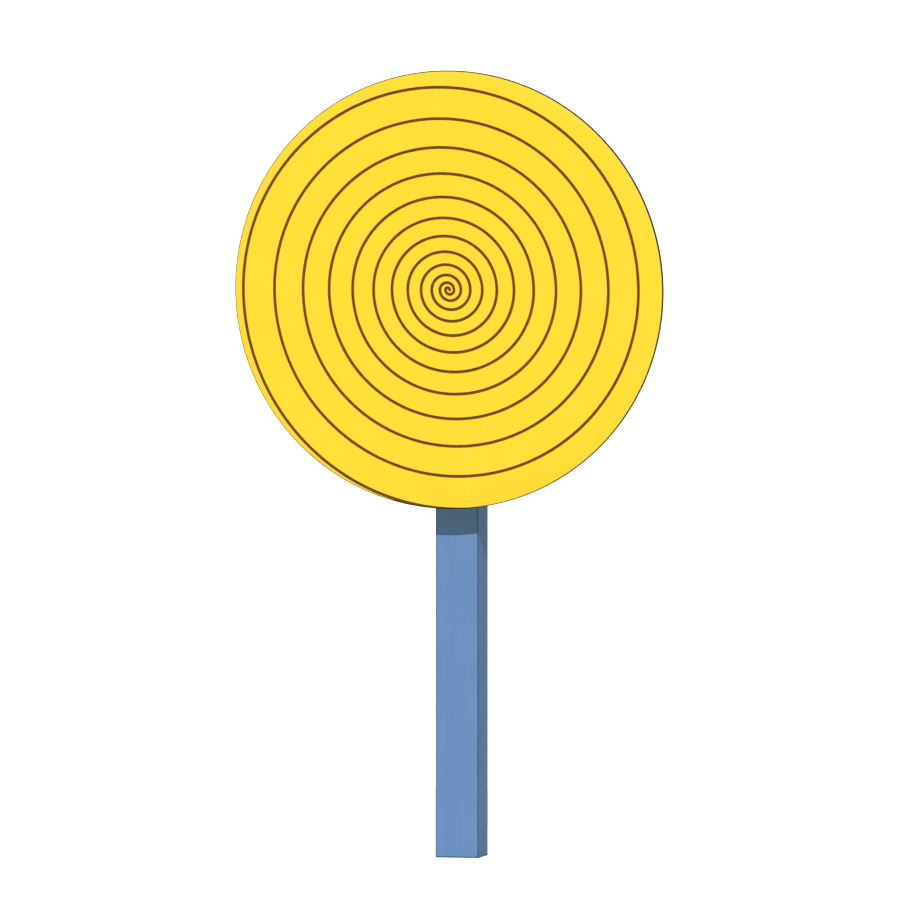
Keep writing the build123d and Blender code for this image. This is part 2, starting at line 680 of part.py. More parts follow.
with BuildPart() as post:
    with BuildSketch():
        Rectangle(POST_SIDE, POST_SIDE)
    extrude(amount=POST_HEIGHT)
    fillet(post.edges().filter_by(Axis.Z), POST_EDGE_ROUND)
    with BuildSketch():
        Rectangle(FOOT_PLATE_SIDE + 2 * FIT_GAP, FOOT_PLATE_SIDE + 2 * FIT_GAP)
    extrude(amount=FOOT_PLATE_THICKNESS, mode=Mode.SUBTRACT)
    with BuildSketch():
        Circle(ANCHOR_BAR / 2 + ANCHOR_GLUE_GAP)
    anchor_hole = FOOT_PLATE_THICKNESS + ANCHOR_BAR_LENGTH + ANCHOR_HOLE_ROOM
    extrude(amount=anchor_hole, mode=Mode.SUBTRACT)
    with BuildSketch(across(POST_FRONT_Y)):
        with GridLocations(PLATE_BOLT_X, PLATE_BOLT_Z, 2, 2):
            Circle(PLATE_BOLT_HOLE / 2)
    extrude(amount=-POST_SIDE, mode=Mode.SUBTRACT)
    with BuildSketch(Plane.XY.offset(POST_HEIGHT)):
        Circle(SCREW_SHANK / 2 + FIT_GAP)
    extrude(amount=-SCREW_LENGTH, mode=Mode.SUBTRACT)
save(post, "post")

with BuildPart() as foot_plate:
    with BuildSketch():
        Rectangle(FOOT_PLATE_SIDE, FOOT_PLATE_SIDE)
        with GridLocations(FOOT_HOLE_SPACING, FOOT_HOLE_SPACING, 2, 2):
            Circle(FOOT_HOLE / 2, mode=Mode.SUBTRACT)
    extrude(amount=FOOT_PLATE_THICKNESS)
save(foot_plate, "foot_plate")

RIB_COUNT = int((ANCHOR_BAR_LENGTH - ANCHOR_RIB_PITCH) / ANCHOR_RIB_PITCH)
with BuildPart() as anchor_bar:
    with BuildSketch(Plane.XY.offset(FOOT_PLATE_THICKNESS)):
        Circle(ANCHOR_BAR / 2 - ANCHOR_RIB_DEPTH)
    extrude(amount=ANCHOR_BAR_LENGTH)
    for rib in range(RIB_COUNT):
        rib_z = FOOT_PLATE_THICKNESS + ANCHOR_RIB_PITCH * (rib + 1)
        with BuildSketch(Plane.XY.offset(rib_z)):
            Circle(ANCHOR_BAR / 2)
        extrude(amount=ANCHOR_RIB_WIDTH)
save(anchor_bar, "anchor_bar")

with BuildPart() as post_cap:
    with BuildSketch(Plane.XY.offset(POST_HEIGHT - CAP_SKIRT)):
        RectangleRounded(CAP_SIDE, CAP_SIDE, CAP_CORNER)
    extrude(amount=CAP_SKIRT + CAP_WALL)
    with BuildSketch(Plane.XY.offset(POST_HEIGHT + CAP_WALL)):
        RectangleRounded(CAP_SIDE, CAP_SIDE, CAP_CORNER)
    with BuildSketch(Plane.XY.offset(CAP_TOP_Z)):
        RectangleRounded(CAP_FLAT, CAP_FLAT, CAP_CORNER)
    loft()
    with BuildSketch(Plane.XY.offset(POST_HEIGHT - CAP_SKIRT)):
        Rectangle(CAP_SIDE - 2 * CAP_WALL, CAP_SIDE - 2 * CAP_WALL)
    extrude(amount=CAP_SKIRT, mode=Mode.SUBTRACT)
    with Locations((0, 0, CAP_TOP_Z)):
        CounterSinkHole(
            SCREW_SHANK / 2 + SCREW_HOLE_PLAY,
            SCREW_HEAD / 2 + SCREW_HOLE_PLAY,
            counter_sink_angle=90,
        )
save(post_cap, "post_cap")

with BuildPart() as cap_screw:
    with BuildSketch(Plane.XZ):
        with BuildLine():
            Polyline(
                (0, SCREW_TOP_Z),
                (SCREW_HEAD / 2, SCREW_TOP_Z),
                (SCREW_SHANK / 2, SCREW_TOP_Z - SCREW_HEAD_DEPTH),
                (SCREW_SHANK / 2, SCREW_TOP_Z - SCREW_LENGTH + SCREW_POINT),
                (0, SCREW_TOP_Z - SCREW_LENGTH),
                close=True,
            )
        make_face()
    revolve(axis=Axis.Z)
    with BuildSketch(Plane.XY.offset(SCREW_TOP_Z)):
        RegularPolygon(SCREW_HEAD / 4, 6)
    extrude(amount=-(SCREW_HEAD_DEPTH - SCREW_SOCKET_FLOOR), mode=Mode.SUBTRACT)
save(cap_screw, "cap_screw")
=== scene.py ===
"""Looks of a spinning spiral disc on a painted timber post.

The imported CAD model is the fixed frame. The laminated disc and the post's cap are modelled again here with
their fine edges, every other node keeps its shape, and all of them get procedural finishes. Metres, +Z up.
"""

import json
import logging
import math
from collections.abc import Callable
from dataclasses import dataclass
from enum import Enum

import bmesh
import bpy
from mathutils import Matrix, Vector


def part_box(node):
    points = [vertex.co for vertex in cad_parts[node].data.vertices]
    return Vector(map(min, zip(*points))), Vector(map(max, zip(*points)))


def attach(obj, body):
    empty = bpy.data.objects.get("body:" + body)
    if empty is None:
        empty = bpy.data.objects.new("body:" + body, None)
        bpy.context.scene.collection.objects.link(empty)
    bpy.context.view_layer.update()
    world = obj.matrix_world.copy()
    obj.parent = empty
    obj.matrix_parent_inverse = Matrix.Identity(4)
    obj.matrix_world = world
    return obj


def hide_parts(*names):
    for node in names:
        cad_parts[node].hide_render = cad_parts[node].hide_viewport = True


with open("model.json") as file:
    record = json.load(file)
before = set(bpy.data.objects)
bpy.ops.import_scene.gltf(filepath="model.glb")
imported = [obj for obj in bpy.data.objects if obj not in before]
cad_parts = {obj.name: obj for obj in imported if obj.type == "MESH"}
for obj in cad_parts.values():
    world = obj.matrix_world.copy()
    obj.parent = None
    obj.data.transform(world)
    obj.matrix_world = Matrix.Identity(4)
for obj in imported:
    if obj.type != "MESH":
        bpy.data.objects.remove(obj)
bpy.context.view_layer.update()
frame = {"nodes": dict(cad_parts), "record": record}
SLOT_OF = {entry["node"]: entry["material_slot"] for entry in frame["record"]["subparts"]}

log = logging.getLogger("spiral_disc")

Colour = tuple[float, float, float]
Node = bpy.types.Node
Socket = bpy.types.NodeSocket
Tree = bpy.types.NodeTree
Object = bpy.types.Object
Material = bpy.types.Material

MM = 0.001
SAME_PLACE = 1e-6
OVERSHOOT = 1.0 * MM  # how far a cutter stands past the face that it opens
AXLE_Z = sum(corner.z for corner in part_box("axle_shaft")) / 2
DECOR_LOW, DECOR_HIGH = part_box("disc_front_face")
CHAMFER_START = DECOR_HIGH.x - (DECOR_HIGH.y - DECOR_LOW.y)


# ------------------------------------------------------------------ node helpers


def srgb(red: int, green: int, blue: int) -> Colour:
    """Turn a display colour, 0 to 255 a channel, into linear light."""

    def linear(channel: int) -> float:
        """Linear value of one channel."""
        value = channel / 255
        return value / 12.92 if value <= 0.04045 else ((value + 0.055) / 1.055) ** 2.4

    return linear(red), linear(green), linear(blue)


class Weave:
    """Short way to place and join nodes in one tree."""

    def __init__(self, tree: Tree) -> None:
        """Keep the tree that the nodes go in."""
        self.tree = tree
        self.column = 0

    def put(self, kind: str, links: dict[str | int, object] | None = None, **settings: object) -> Node:
        """Add a node, set its properties, and give its inputs values or links.

        Args:
            kind: the node's Blender type name.
            links: input name or number to a plain value or another node's output.
            settings: properties of the node itself.

        Returns:
            The new node.
        """
        node = self.tree.nodes.new(kind)
        self.column += 1
        node.location = (self.column % 12 * 190.0, -(self.column // 12) * 320.0)
        for name, value in settings.items():
            setattr(node, name, value)
        for key, value in (links or {}).items():
            socket = node.inputs[key]
            if isinstance(value, bpy.types.NodeSocket):
                self.tree.links.new(value, socket)
            elif isinstance(value, tuple) and socket.type == "RGBA":
                socket.default_value = (*value, 1.0)
            else:
                socket.default_value = value
        return node

    def math(self, operation: str, first: object, second: object = 0.0, third: object = 0.0) -> Socket:
        """One Math node.

        Args:
            operation: the node's operation.
            first: first value or link.
            second: second value or link.
            third: third value or link, for the few operations that have one.

        Returns:
            The result.
        """
        return self.put("ShaderNodeMath", {0: first, 1: second, 2: third}, operation=operation).outputs[0]

    def mix(self, factor: object, first: object, second: object) -> Socket:
        """Mix two colours.

        Args:
            factor: 0 gives the first colour and 1 the second.
            first: first colour or link.
            second: second colour or link.

        Returns:
            The mixed colour.
        """
        return self.put("ShaderNodeMix", {0: factor, 6: first, 7: second}, data_type="RGBA").outputs[2]

    def spread(
        self, value: Socket, low: object, high: object, to_low: float = 0.0, to_high: float = 1.0
    ) -> Socket:
        """Map low to high onto to_low to to_high, smoothly and clamped.

        Args:
            value: the value to map.
            low: the value that gives to_low, plain or another node's output.
            high: the value that gives to_high, plain or another node's output.
            to_low: the result at low.
            to_high: the result at high.

        Returns:
            The mapped value.
        """
        node = self.put(
            "ShaderNodeMapRange",
            {"Value": value, "From Min": low, "From Max": high, "To Min": to_low, "To Max": to_high},
            interpolation_type="SMOOTHSTEP",
        )
        return node.outputs["Result"]

    def noise(self, vector: Socket, scale: object, detail: float = 4.0, rough: float = 0.5) -> Socket:
        """Fractal noise.

        Args:
            vector: where to read it.
            scale: how fine it is.
            detail: how many finer layers it has.
            rough: how strong the finer layers are.

        Returns:
            A value round one half.
        """
        node = self.put(
            "ShaderNodeTexNoise",
            {"Vector": vector, "Scale": scale, "Detail": detail, "Roughness": rough},
        )
        return node.outputs["Fac"]

    def stretch(self, vector: Socket, scale: tuple[float, float, float]) -> Socket:
        """Scale a vector along each axis."""
        return self.put("ShaderNodeMapping", {"Vector": vector, "Scale": scale}).outputs["Vector"]


def new_group(
    name: str, inputs: dict[str, object], outputs: dict[str, str]
) -> tuple[Tree, Weave, Node, Node]:
    """Start a shader node group.

    Args:
        name: the group's name.
        inputs: input name to its default; a tuple of three is a vector, a tuple of four a colour.
        outputs: output name to its socket type.

    Returns:
        The group's tree, a Weave on it, and its input and output nodes.
    """
    tree = bpy.data.node_groups.new(name, "ShaderNodeTree")
    for label, default in inputs.items():
        if isinstance(default, tuple):
            kind = "NodeSocketColor" if len(default) == 4 else "NodeSocketVector"
        else:
            kind = "NodeSocketFloat"
        socket = tree.interface.new_socket(label, in_out="INPUT", socket_type=kind)
        socket.default_value = default
    for label, kind in outputs.items():
        tree.interface.new_socket(label, in_out="OUTPUT", socket_type=kind)
    weave = Weave(tree)
    return tree, weave, weave.put("NodeGroupInput"), weave.put("NodeGroupOutput")


class Effect(Enum):
    """Surface effects that several finishes share, each one a node group."""

    CLOUDS = "cloudy_tint"
    SPECKLE = "fine_speckle"
    HAIRLINES = "hairline_scratches"
    ARRIS = "worn_arris"
    DUST = "settled_dust"
    TURNING = "turning_marks"
    RIM = "cut_rim"


def build_cloudy_tint() -> Tree:
    """Soft cloudy change between two colours."""
    tree, weave, source, sink = new_group(
        Effect.CLOUDS.value,
        {
            "Vector": (0.0, 0.0, 0.0),
            "Light": (0.8, 0.8, 0.8, 1.0),
            "Dark": (0.7, 0.7, 0.7, 1.0),
            "Scale": 20.0,
            "Contrast": 0.5,
        },
        {"Color": "NodeSocketColor", "Value": "NodeSocketFloat"},
    )
    broad = weave.noise(source.outputs["Vector"], source.outputs["Scale"], 5.0, 0.55)
    centred = weave.math("SUBTRACT", broad, 0.5)
    strong = weave.math("MULTIPLY_ADD", centred, source.outputs["Contrast"], 0.5)
    held = weave.put("ShaderNodeClamp", {"Value": strong}).outputs[0]
    colour = weave.mix(held, source.outputs["Dark"], source.outputs["Light"])
    tree.links.new(colour, sink.inputs["Color"])
    tree.links.new(held, sink.inputs["Value"])
    return tree


def build_fine_speckle() -> Tree:
    """Fine pebbled relief, such as the skin of a moulding or a pressed laminate."""
    tree, weave, source, sink = new_group(
        Effect.SPECKLE.value,
        {"Vector": (0.0, 0.0, 0.0), "Scale": 900.0, "Unevenness": 0.5},
        {"Height": "NodeSocketFloat"},
    )
    cells = weave.put(
        "ShaderNodeTexVoronoi",
        {"Vector": source.outputs["Vector"], "Scale": source.outputs["Scale"]},
        feature="SMOOTH_F1",
    )
    grain = weave.noise(source.outputs["Vector"], source.outputs["Scale"], 3.0, 0.6)
    uneven = weave.math("MULTIPLY", grain, source.outputs["Unevenness"])
    height = weave.math("SUBTRACT", uneven, cells.outputs["Distance"])
    tree.links.new(height, sink.inputs["Height"])
    return tree


def build_hairline_scratches() -> Tree:
    """Sparse thin scratches that run many ways."""
    tree, weave, source, sink = new_group(
        Effect.HAIRLINES.value,
        {"Vector": (0.0, 0.0, 0.0), "Scale": 10.0, "Thinness": 0.012},
        {"Mask": "NodeSocketFloat"},
    )
    tilt_share = 0.2
    along_squeeze = 0.16
    masks = []
    for turn, squeeze in ((0.35, 1.0), (1.25, 1.3), (2.3, 0.8)):
        turned = weave.put(
            "ShaderNodeMapping",
            {
                "Vector": source.outputs["Vector"],
                "Rotation": (tilt_share * turn, turn, 0.0),
                "Scale": (squeeze, 1.0, along_squeeze),
            },
        )
        edges = weave.put(
            "ShaderNodeTexVoronoi",
            {"Vector": turned.outputs["Vector"], "Scale": source.outputs["Scale"]},
            feature="DISTANCE_TO_EDGE",
        )
        line = weave.math("LESS_THAN", edges.outputs["Distance"], source.outputs["Thinness"])
        patchy = weave.spread(weave.noise(turned.outputs["Vector"], 3.0 + turn, 2.0), 0.5, 0.62)
        masks.append(weave.math("MULTIPLY", line, patchy))
    both = weave.math("MAXIMUM", masks[0], masks[1])
    tree.links.new(weave.math("MAXIMUM", both, masks[2]), sink.inputs["Mask"])
    return tree


def build_worn_arris() -> Tree:
    """Mask of the edges of a square piece, broken up where the wear is uneven."""
    tree, weave, source, sink = new_group(
        Effect.ARRIS.value,
        {"Vector": (0.0, 0.0, 0.0), "Reach": 0.002, "Unevenness": 0.4},
        {"Mask": "NodeSocketFloat"},
    )
    rounded = weave.put("ShaderNodeBevel", {"Radius": source.outputs["Reach"]}, samples=6)
    plain = weave.put("ShaderNodeNewGeometry")
    dot = weave.put(
        "ShaderNodeVectorMath",
        {0: rounded.outputs["Normal"], 1: plain.outputs["Normal"]},
        operation="DOT_PRODUCT",
    )
    beside = weave.spread(dot.outputs["Value"], 0.995, 0.93)
    own = weave.put("ShaderNodeSeparateXYZ", {"Vector": weave.put("ShaderNodeTexCoord").outputs["Normal"]})
    sizes = [weave.math("ABSOLUTE", own.outputs[axis]) for axis in ("X", "Y", "Z")]
    total = weave.math("ADD", weave.math("ADD", sizes[0], sizes[1]), sizes[2])
    edge = weave.math("MAXIMUM", beside, weave.spread(total, 1.04, 1.2))
    patch = weave.noise(source.outputs["Vector"], 60.0, 5.0, 0.65)
    loss = weave.math("MULTIPLY", weave.spread(patch, 0.35, 0.65), source.outputs["Unevenness"])
    kept = weave.math("SUBTRACT", 1.0, loss)
    tree.links.new(weave.math("MULTIPLY", edge, kept), sink.inputs["Mask"])
    return tree


def build_settled_dust() -> Tree:
    """Mask of surfaces that look up, where dust and rain marks stay."""
    tree, weave, source, sink = new_group(
        Effect.DUST.value,
        {"Vector": (0.0, 0.0, 0.0), "Amount": 0.4},
        {"Mask": "NodeSocketFloat"},
    )
    facing = weave.put("ShaderNodeSeparateXYZ", {"Vector": weave.put("ShaderNodeTexCoord").outputs["Normal"]})
    upward = weave.spread(facing.outputs["Z"], 0.1, 0.9)
    patch = weave.spread(weave.noise(source.outputs["Vector"], 45.0, 6.0, 0.6), 0.35, 0.7)
    mask = weave.math("MULTIPLY", upward, weave.math("MULTIPLY_ADD", patch, 0.7, 0.3))
    tree.links.new(weave.math("MULTIPLY", mask, source.outputs["Amount"]), sink.inputs["Mask"])
    return tree


def build_turning_marks() -> Tree:
    """Fine rings that a lathe leaves round the axle's line."""
    tree, weave, source, sink = new_group(
        Effect.TURNING.value,
        {"Vector": (0.0, 0.0, 0.0), "Pitch": 0.0006},
        {"Height": "NodeSocketFloat", "Streak": "NodeSocketFloat"},
    )
    centred = weave.put(
        "ShaderNodeMapping",
        {"Vector": source.outputs["Vector"], "Location": (0.0, 0.0, -AXLE_Z)},
    )
    parts = weave.put("ShaderNodeSeparateXYZ", {"Vector": centred.outputs["Vector"]})
    across = weave.math("MULTIPLY", parts.outputs["X"], parts.outputs["X"])
    square = weave.math("MULTIPLY_ADD", parts.outputs["Z"], parts.outputs["Z"], across)
    radius = weave.math("SQRT", square)
    along = weave.math("ADD", radius, parts.outputs["Y"])
    steps = weave.math("DIVIDE", along, source.outputs["Pitch"])
    wave = weave.math("SINE", weave.math("MULTIPLY", steps, math.tau))
    ring = weave.put("ShaderNodeCombineXYZ", {"X": radius, "Y": parts.outputs["Y"], "Z": 0.0})
    streak = weave.noise(ring.outputs["Vector"], 1400.0, 2.0, 0.7)
    tree.links.new(wave, sink.inputs["Height"])
    tree.links.new(streak, sink.inputs["Streak"])
    return tree


def build_cut_rim() -> Tree:
    """Mask of a round board's cut edge, by distance from the axle's line."""
    tree, weave, source, sink = new_group(
        Effect.RIM.value,
        {"Vector": (0.0, 0.0, 0.0), "Radius": 0.4},
        {"Mask": "NodeSocketFloat"},
    )
    level = weave.put(
        "ShaderNodeMapping",
        {"Vector": source.outputs["Vector"], "Location": (0, 0, -AXLE_Z), "Scale": (1, 0, 1)},
    )
    radius = weave.put("ShaderNodeVectorMath", {0: level.outputs["Vector"]}, operation="LENGTH")
    blur = 0.05 * MM
    inner = weave.math("SUBTRACT", source.outputs["Radius"], blur)
    outer = weave.math("ADD", source.outputs["Radius"], blur)
    tree.links.new(weave.spread(radius.outputs["Value"], inner, outer), sink.inputs["Mask"])
    return tree


EFFECT_BUILDERS = {
    Effect.CLOUDS: build_cloudy_tint,
    Effect.SPECKLE: build_fine_speckle,
    Effect.HAIRLINES: build_hairline_scratches,
    Effect.ARRIS: build_worn_arris,
    Effect.DUST: build_settled_dust,
    Effect.TURNING: build_turning_marks,
    Effect.RIM: build_cut_rim,
}


class Effects:
    """The shared node groups, each one built the first time it is used."""

    built: dict[Effect, Tree] = {}

    @classmethod
    def place(cls, weave: Weave, effect: Effect, links: dict[str, object]) -> Node:
        """Place one effect's group in a material.

        Args:
            weave: the material's node helper.
            effect: which effect.
            links: the group's input values or links.

        Returns:
            The group node.
        """
        if effect not in cls.built:
            cls.built[effect] = EFFECT_BUILDERS[effect]()
        return weave.put("ShaderNodeGroup", links, node_tree=cls.built[effect])


# ------------------------------------------------------------------ finishes


@dataclass(frozen=True)
class Finish:
    """What every finish shares: its name, an empty material to start from, and relief."""

    name: str

    def make(self) -> Material:
        """Build the material, which each kind of finish does in its own way."""
        raise NotImplementedError

    def start(self) -> tuple[Material, Weave, Node, Socket]:
        """Make the empty material.

        Returns:
            The material, its node helper, its shader, and the object-space position.
        """
        material = bpy.data.materials.new(f"{self.name}_finish")
        material.use_nodes = True
        material.node_tree.nodes.clear()
        weave = Weave(material.node_tree)
        shader = weave.put("ShaderNodeBsdfPrincipled")
        output = weave.put("ShaderNodeOutputMaterial")
        material.node_tree.links.new(shader.outputs["BSDF"], output.inputs["Surface"])
        place = weave.put("ShaderNodeTexCoord").outputs["Object"]
        return material, weave, shader, place

    def relief(self, weave: Weave, shader: Node, height: Socket, depth: float, strength: float = 1.0) -> None:
        """Feed a height into the shader's normal.

        Args:
            weave: the material's node helper.
            shader: the shader.
            height: the height value.
            depth: the relief's depth in metres.
            strength: how much of it shows.
        """
        bump = weave.put("ShaderNodeBump", {"Height": height, "Distance": depth, "Strength": strength})
        weave.tree.links.new(bump.outputs["Normal"], shader.inputs["Normal"])


@dataclass(frozen=True)
class CloudyFinish(Finish):
    """A coated or moulded finish whose colour drifts between two tints."""

    light: Colour = (0.8, 0.8, 0.8)
    dark: Colour = (0.7, 0.7, 0.7)
    cloud_scale: float = 20.0
    cloud_contrast: float = 2.0
    shine: float = 0.25

    def clouds(self, weave: Weave, place: Socket) -> Node:
        """Place the change between the two tints.

        Args:
            weave: the material's node helper.
            place: the object-space position.

        Returns:
            The group node, with its colour and the value behind it.
        """
        return Effects.place(
            weave,
            Effect.CLOUDS,
            {
                "Vector": place,
                "Light": self.light,
                "Dark": self.dark,
                "Scale": self.cloud_scale,
                "Contrast": self.cloud_contrast,
            },
        )


@dataclass(frozen=True)
class YellowDecor(CloudyFinish):
    """Pressed yellow face of a compact laminate: finely pebbled, satin, a little handled, with painted shade
    on its rim.
    """

    light: Colour = srgb(243, 204, 40)
    dark: Colour = srgb(240, 200, 37)
    fleck: Colour = srgb(222, 178, 30)
    scuff: Colour = srgb(232, 204, 92)
    # Dark brown painted on the tapered rim: painted shade, darker than the core's own brown.
    shaded_cut_edge: Colour = srgb(50, 35, 11)
    cloud_scale: float = 9.0
    cloud_contrast: float = 1.6
    fleck_scale: float = 850.0
    fleck_strength: float = 0.22
    scratch_scale: float = 16.0
    scratch_thinness: float = 0.006
    scratch_strength: float = 0.18
    scratch_depth: float = 0.7
    pebble_scale: float = 1500.0
    pebble_depth: float = 0.09 * MM
    handled_scale: float = 7.0
    rough_low: float = 0.42
    rough_high: float = 0.56

    def make(self) -> Material:
        """Build the material."""
        material, weave, shader, place = self.start()
        tint = self.clouds(weave, place)
        lines = Effects.place(
            weave,
            Effect.HAIRLINES,
            {"Vector": place, "Scale": self.scratch_scale, "Thinness": self.scratch_thinness},
        )
        faint = weave.math("MULTIPLY", lines.outputs["Mask"], self.scratch_strength)
        flecks = weave.spread(weave.noise(place, self.fleck_scale, 3.0, 0.6), 0.62, 0.74)
        fleck_share = weave.math("MULTIPLY", flecks, self.fleck_strength)
        flecked = weave.mix(fleck_share, tint.outputs["Color"], self.fleck)
        marked = weave.mix(faint, flecked, self.scuff)
        # The rim past the chamfer's start takes the dark brown: painted shade on the rim.
        rim = Effects.place(weave, Effect.RIM, {"Vector": place, "Radius": CHAMFER_START}).outputs["Mask"]
        colour = weave.mix(rim, marked, self.shaded_cut_edge)
        weave.tree.links.new(colour, shader.inputs["Base Color"])
        skin = Effects.place(
            weave, Effect.SPECKLE, {"Vector": place, "Scale": self.pebble_scale, "Unevenness": 0.6}
        )
        scored = weave.math(
            "MULTIPLY_ADD", lines.outputs["Mask"], -self.scratch_depth, skin.outputs["Height"]
        )
        self.relief(weave, shader, scored, self.pebble_depth, 0.75)
        handled = weave.noise(place, self.handled_scale, 4.0, 0.6)
        rough = weave.spread(handled, 0.3, 0.7, self.rough_low, self.rough_high)
        weave.tree.links.new(weave.math("MULTIPLY_ADD", faint, 0.4, rough), shader.inputs["Roughness"])
        shader.inputs["Specular IOR Level"].default_value = self.shine
        return material


@dataclass(frozen=True)
class LaminateCore(CloudyFinish):
    """Brown pressed core: cutter marks in the milled groove, and paper layers round the rim, painted dark
    there as shade.
    """

    light: Colour = srgb(112, 72, 14)
    dark: Colour = srgb(98, 62, 10)
    # Paper layers round the rim, both far darker than the core's brown: painted shade on the rim.
    shaded_rim_pale_layer: Colour = srgb(50, 35, 11)
    shaded_rim_dark_layer: Colour = srgb(26, 18, 6)
    cloud_scale: float = 170.0
    cloud_contrast: float = 3.0
    shine: float = 0.12
    layer: float = 0.9 * MM
    layer_wander_scale: float = 30.0
    chatter_scale: float = 420.0
    chatter_depth: float = 0.16 * MM
    rough_low: float = 0.6
    rough_high: float = 0.76

    def make(self) -> Material:
        """Build the material."""
        material, weave, shader, place = self.start()
        tint = self.clouds(weave, place)
        rim = Effects.place(weave, Effect.RIM, {"Vector": place, "Radius": CHAMFER_START}).outputs["Mask"]
        parts = weave.put("ShaderNodeSeparateXYZ", {"Vector": place})
        wander = weave.math("MULTIPLY", weave.noise(place, self.layer_wander_scale, 2.0), self.layer)
        depth = weave.math("DIVIDE", weave.math("ADD", parts.outputs["Y"], wander), self.layer)
        sheet = weave.spread(weave.math("SINE", weave.math("MULTIPLY", depth, math.tau)), -0.6, 0.8)
        # Painted shade: the rim's paper layers are painted dark brown.
        shaded_rim_colour = weave.mix(sheet, self.shaded_rim_pale_layer, self.shaded_rim_dark_layer)
        colour = weave.mix(rim, tint.outputs["Color"], shaded_rim_colour)
        weave.tree.links.new(colour, shader.inputs["Base Color"])
        chatter = weave.noise(weave.stretch(place, (1.0, 0.2, 1.0)), self.chatter_scale, 3.0, 0.6)
        height = weave.math("MULTIPLY_ADD", weave.math("MULTIPLY", sheet, rim), 0.5, chatter)
        self.relief(weave, shader, height, self.chatter_depth, 0.8)
        rough = weave.spread(chatter, 0.3, 0.7, self.rough_low, self.rough_high)
        weave.tree.links.new(rough, shader.inputs["Roughness"])
        shader.inputs["Specular IOR Level"].default_value = self.shine
        return material


@dataclass(frozen=True)
class PostPaint(CloudyFinish):
    """Opaque blue paint on laminated pine: brush marks, faint grain, worn arrises, a darker band at the foot,
    and painted shade that darkens it toward the top under the disc.
    """

    light: Colour = srgb(101, 136, 181)
    dark: Colour = srgb(94, 128, 171)
    streak: Colour = srgb(88, 121, 164)
    arris: Colour = srgb(32, 46, 70)
    cloud_scale: float = 17.0
    cloud_contrast: float = 2.4
    shine: float = 0.12
    grain_scale: float = 95.0
    grain_strength: float = 0.14
    bristle_scale: float = 900.0
    peel_scale: float = 260.0
    cloud_draw: float = 0.45
    grain_draw: float = 0.03
    bristle_draw: float = 0.02
    coat_depth: float = 0.3 * MM
    arris_reach: float = 3.2 * MM
    arris_strength: float = 0.88
    # A darker band along the post's foot, its top edge wavering with the grain.
    foot_band_start: float = 2.2 * MM
    foot_band_end: float = 3.6 * MM
    foot_band_waver: float = 1.0 * MM
    # Painted shade: the paint darkens toward the top of the post, under the disc.
    top_shade_height: float = 1.2
    top_shade_strength: float = 0.6
    rough_low: float = 0.52
    rough_high: float = 0.66

    def make(self) -> Material:
        """Build the material."""
        material, weave, shader, place = self.start()
        tint = self.clouds(weave, weave.stretch(place, (1.0, 1.0, self.cloud_draw)))
        grain_line = weave.stretch(place, (1.0, 1.0, self.grain_draw))
        figure = weave.noise(grain_line, self.grain_scale, 6.0, 0.62)
        line = weave.spread(figure, 0.42, 0.62)
        line_share = weave.math("MULTIPLY", line, self.grain_strength)
        toned = weave.mix(line_share, tint.outputs["Color"], self.streak)
        parts = weave.put("ShaderNodeSeparateXYZ", {"Vector": place})
        # Painted shade darkening the post toward its top, where the disc shades it.
        top_shade = weave.spread(parts.outputs["Z"], 0.0, self.top_shade_height, 0.0, self.top_shade_strength)
        shaded_toward_top = weave.mix(top_shade, toned, self.dark)
        worn = Effects.place(
            weave, Effect.ARRIS, {"Vector": place, "Reach": self.arris_reach, "Unevenness": 0.2}
        )
        # Darker band at the post's foot, mixed into the same dark colour as the worn arrises.
        level = weave.math("ADD", parts.outputs["Z"], weave.math("MULTIPLY", figure, self.foot_band_waver))
        foot = weave.spread(level, self.foot_band_end, self.foot_band_start)
        marked = weave.math("MAXIMUM", worn.outputs["Mask"], foot)
        dark_arris_and_foot = weave.math("MULTIPLY", marked, self.arris_strength)
        colour = weave.mix(dark_arris_and_foot, shaded_toward_top, self.arris)
        weave.tree.links.new(colour, shader.inputs["Base Color"])
        bristle_line = weave.stretch(place, (1.0, 1.0, self.bristle_draw))
        bristle = weave.noise(bristle_line, self.bristle_scale, 3.0, 0.6)
        peel = weave.noise(place, self.peel_scale, 2.0, 0.5)
        height = weave.math("MULTIPLY_ADD", bristle, 0.35, weave.math("MULTIPLY_ADD", peel, 0.3, figure))
        self.relief(weave, shader, height, self.coat_depth, 0.6)
        rough = weave.spread(figure, 0.3, 0.7, self.rough_low, self.rough_high)
        weave.tree.links.new(rough, shader.inputs["Roughness"])
        shader.inputs["Specular IOR Level"].default_value = self.shine
        return material


class MetalSurface(Enum):
    """How a metal piece was left by its last process."""

    TURNED = "turned"
    SPANGLED = "spangled"
    ROLLED = "rolled"
    GROUND = "ground"
    BLACKED = "blacked"


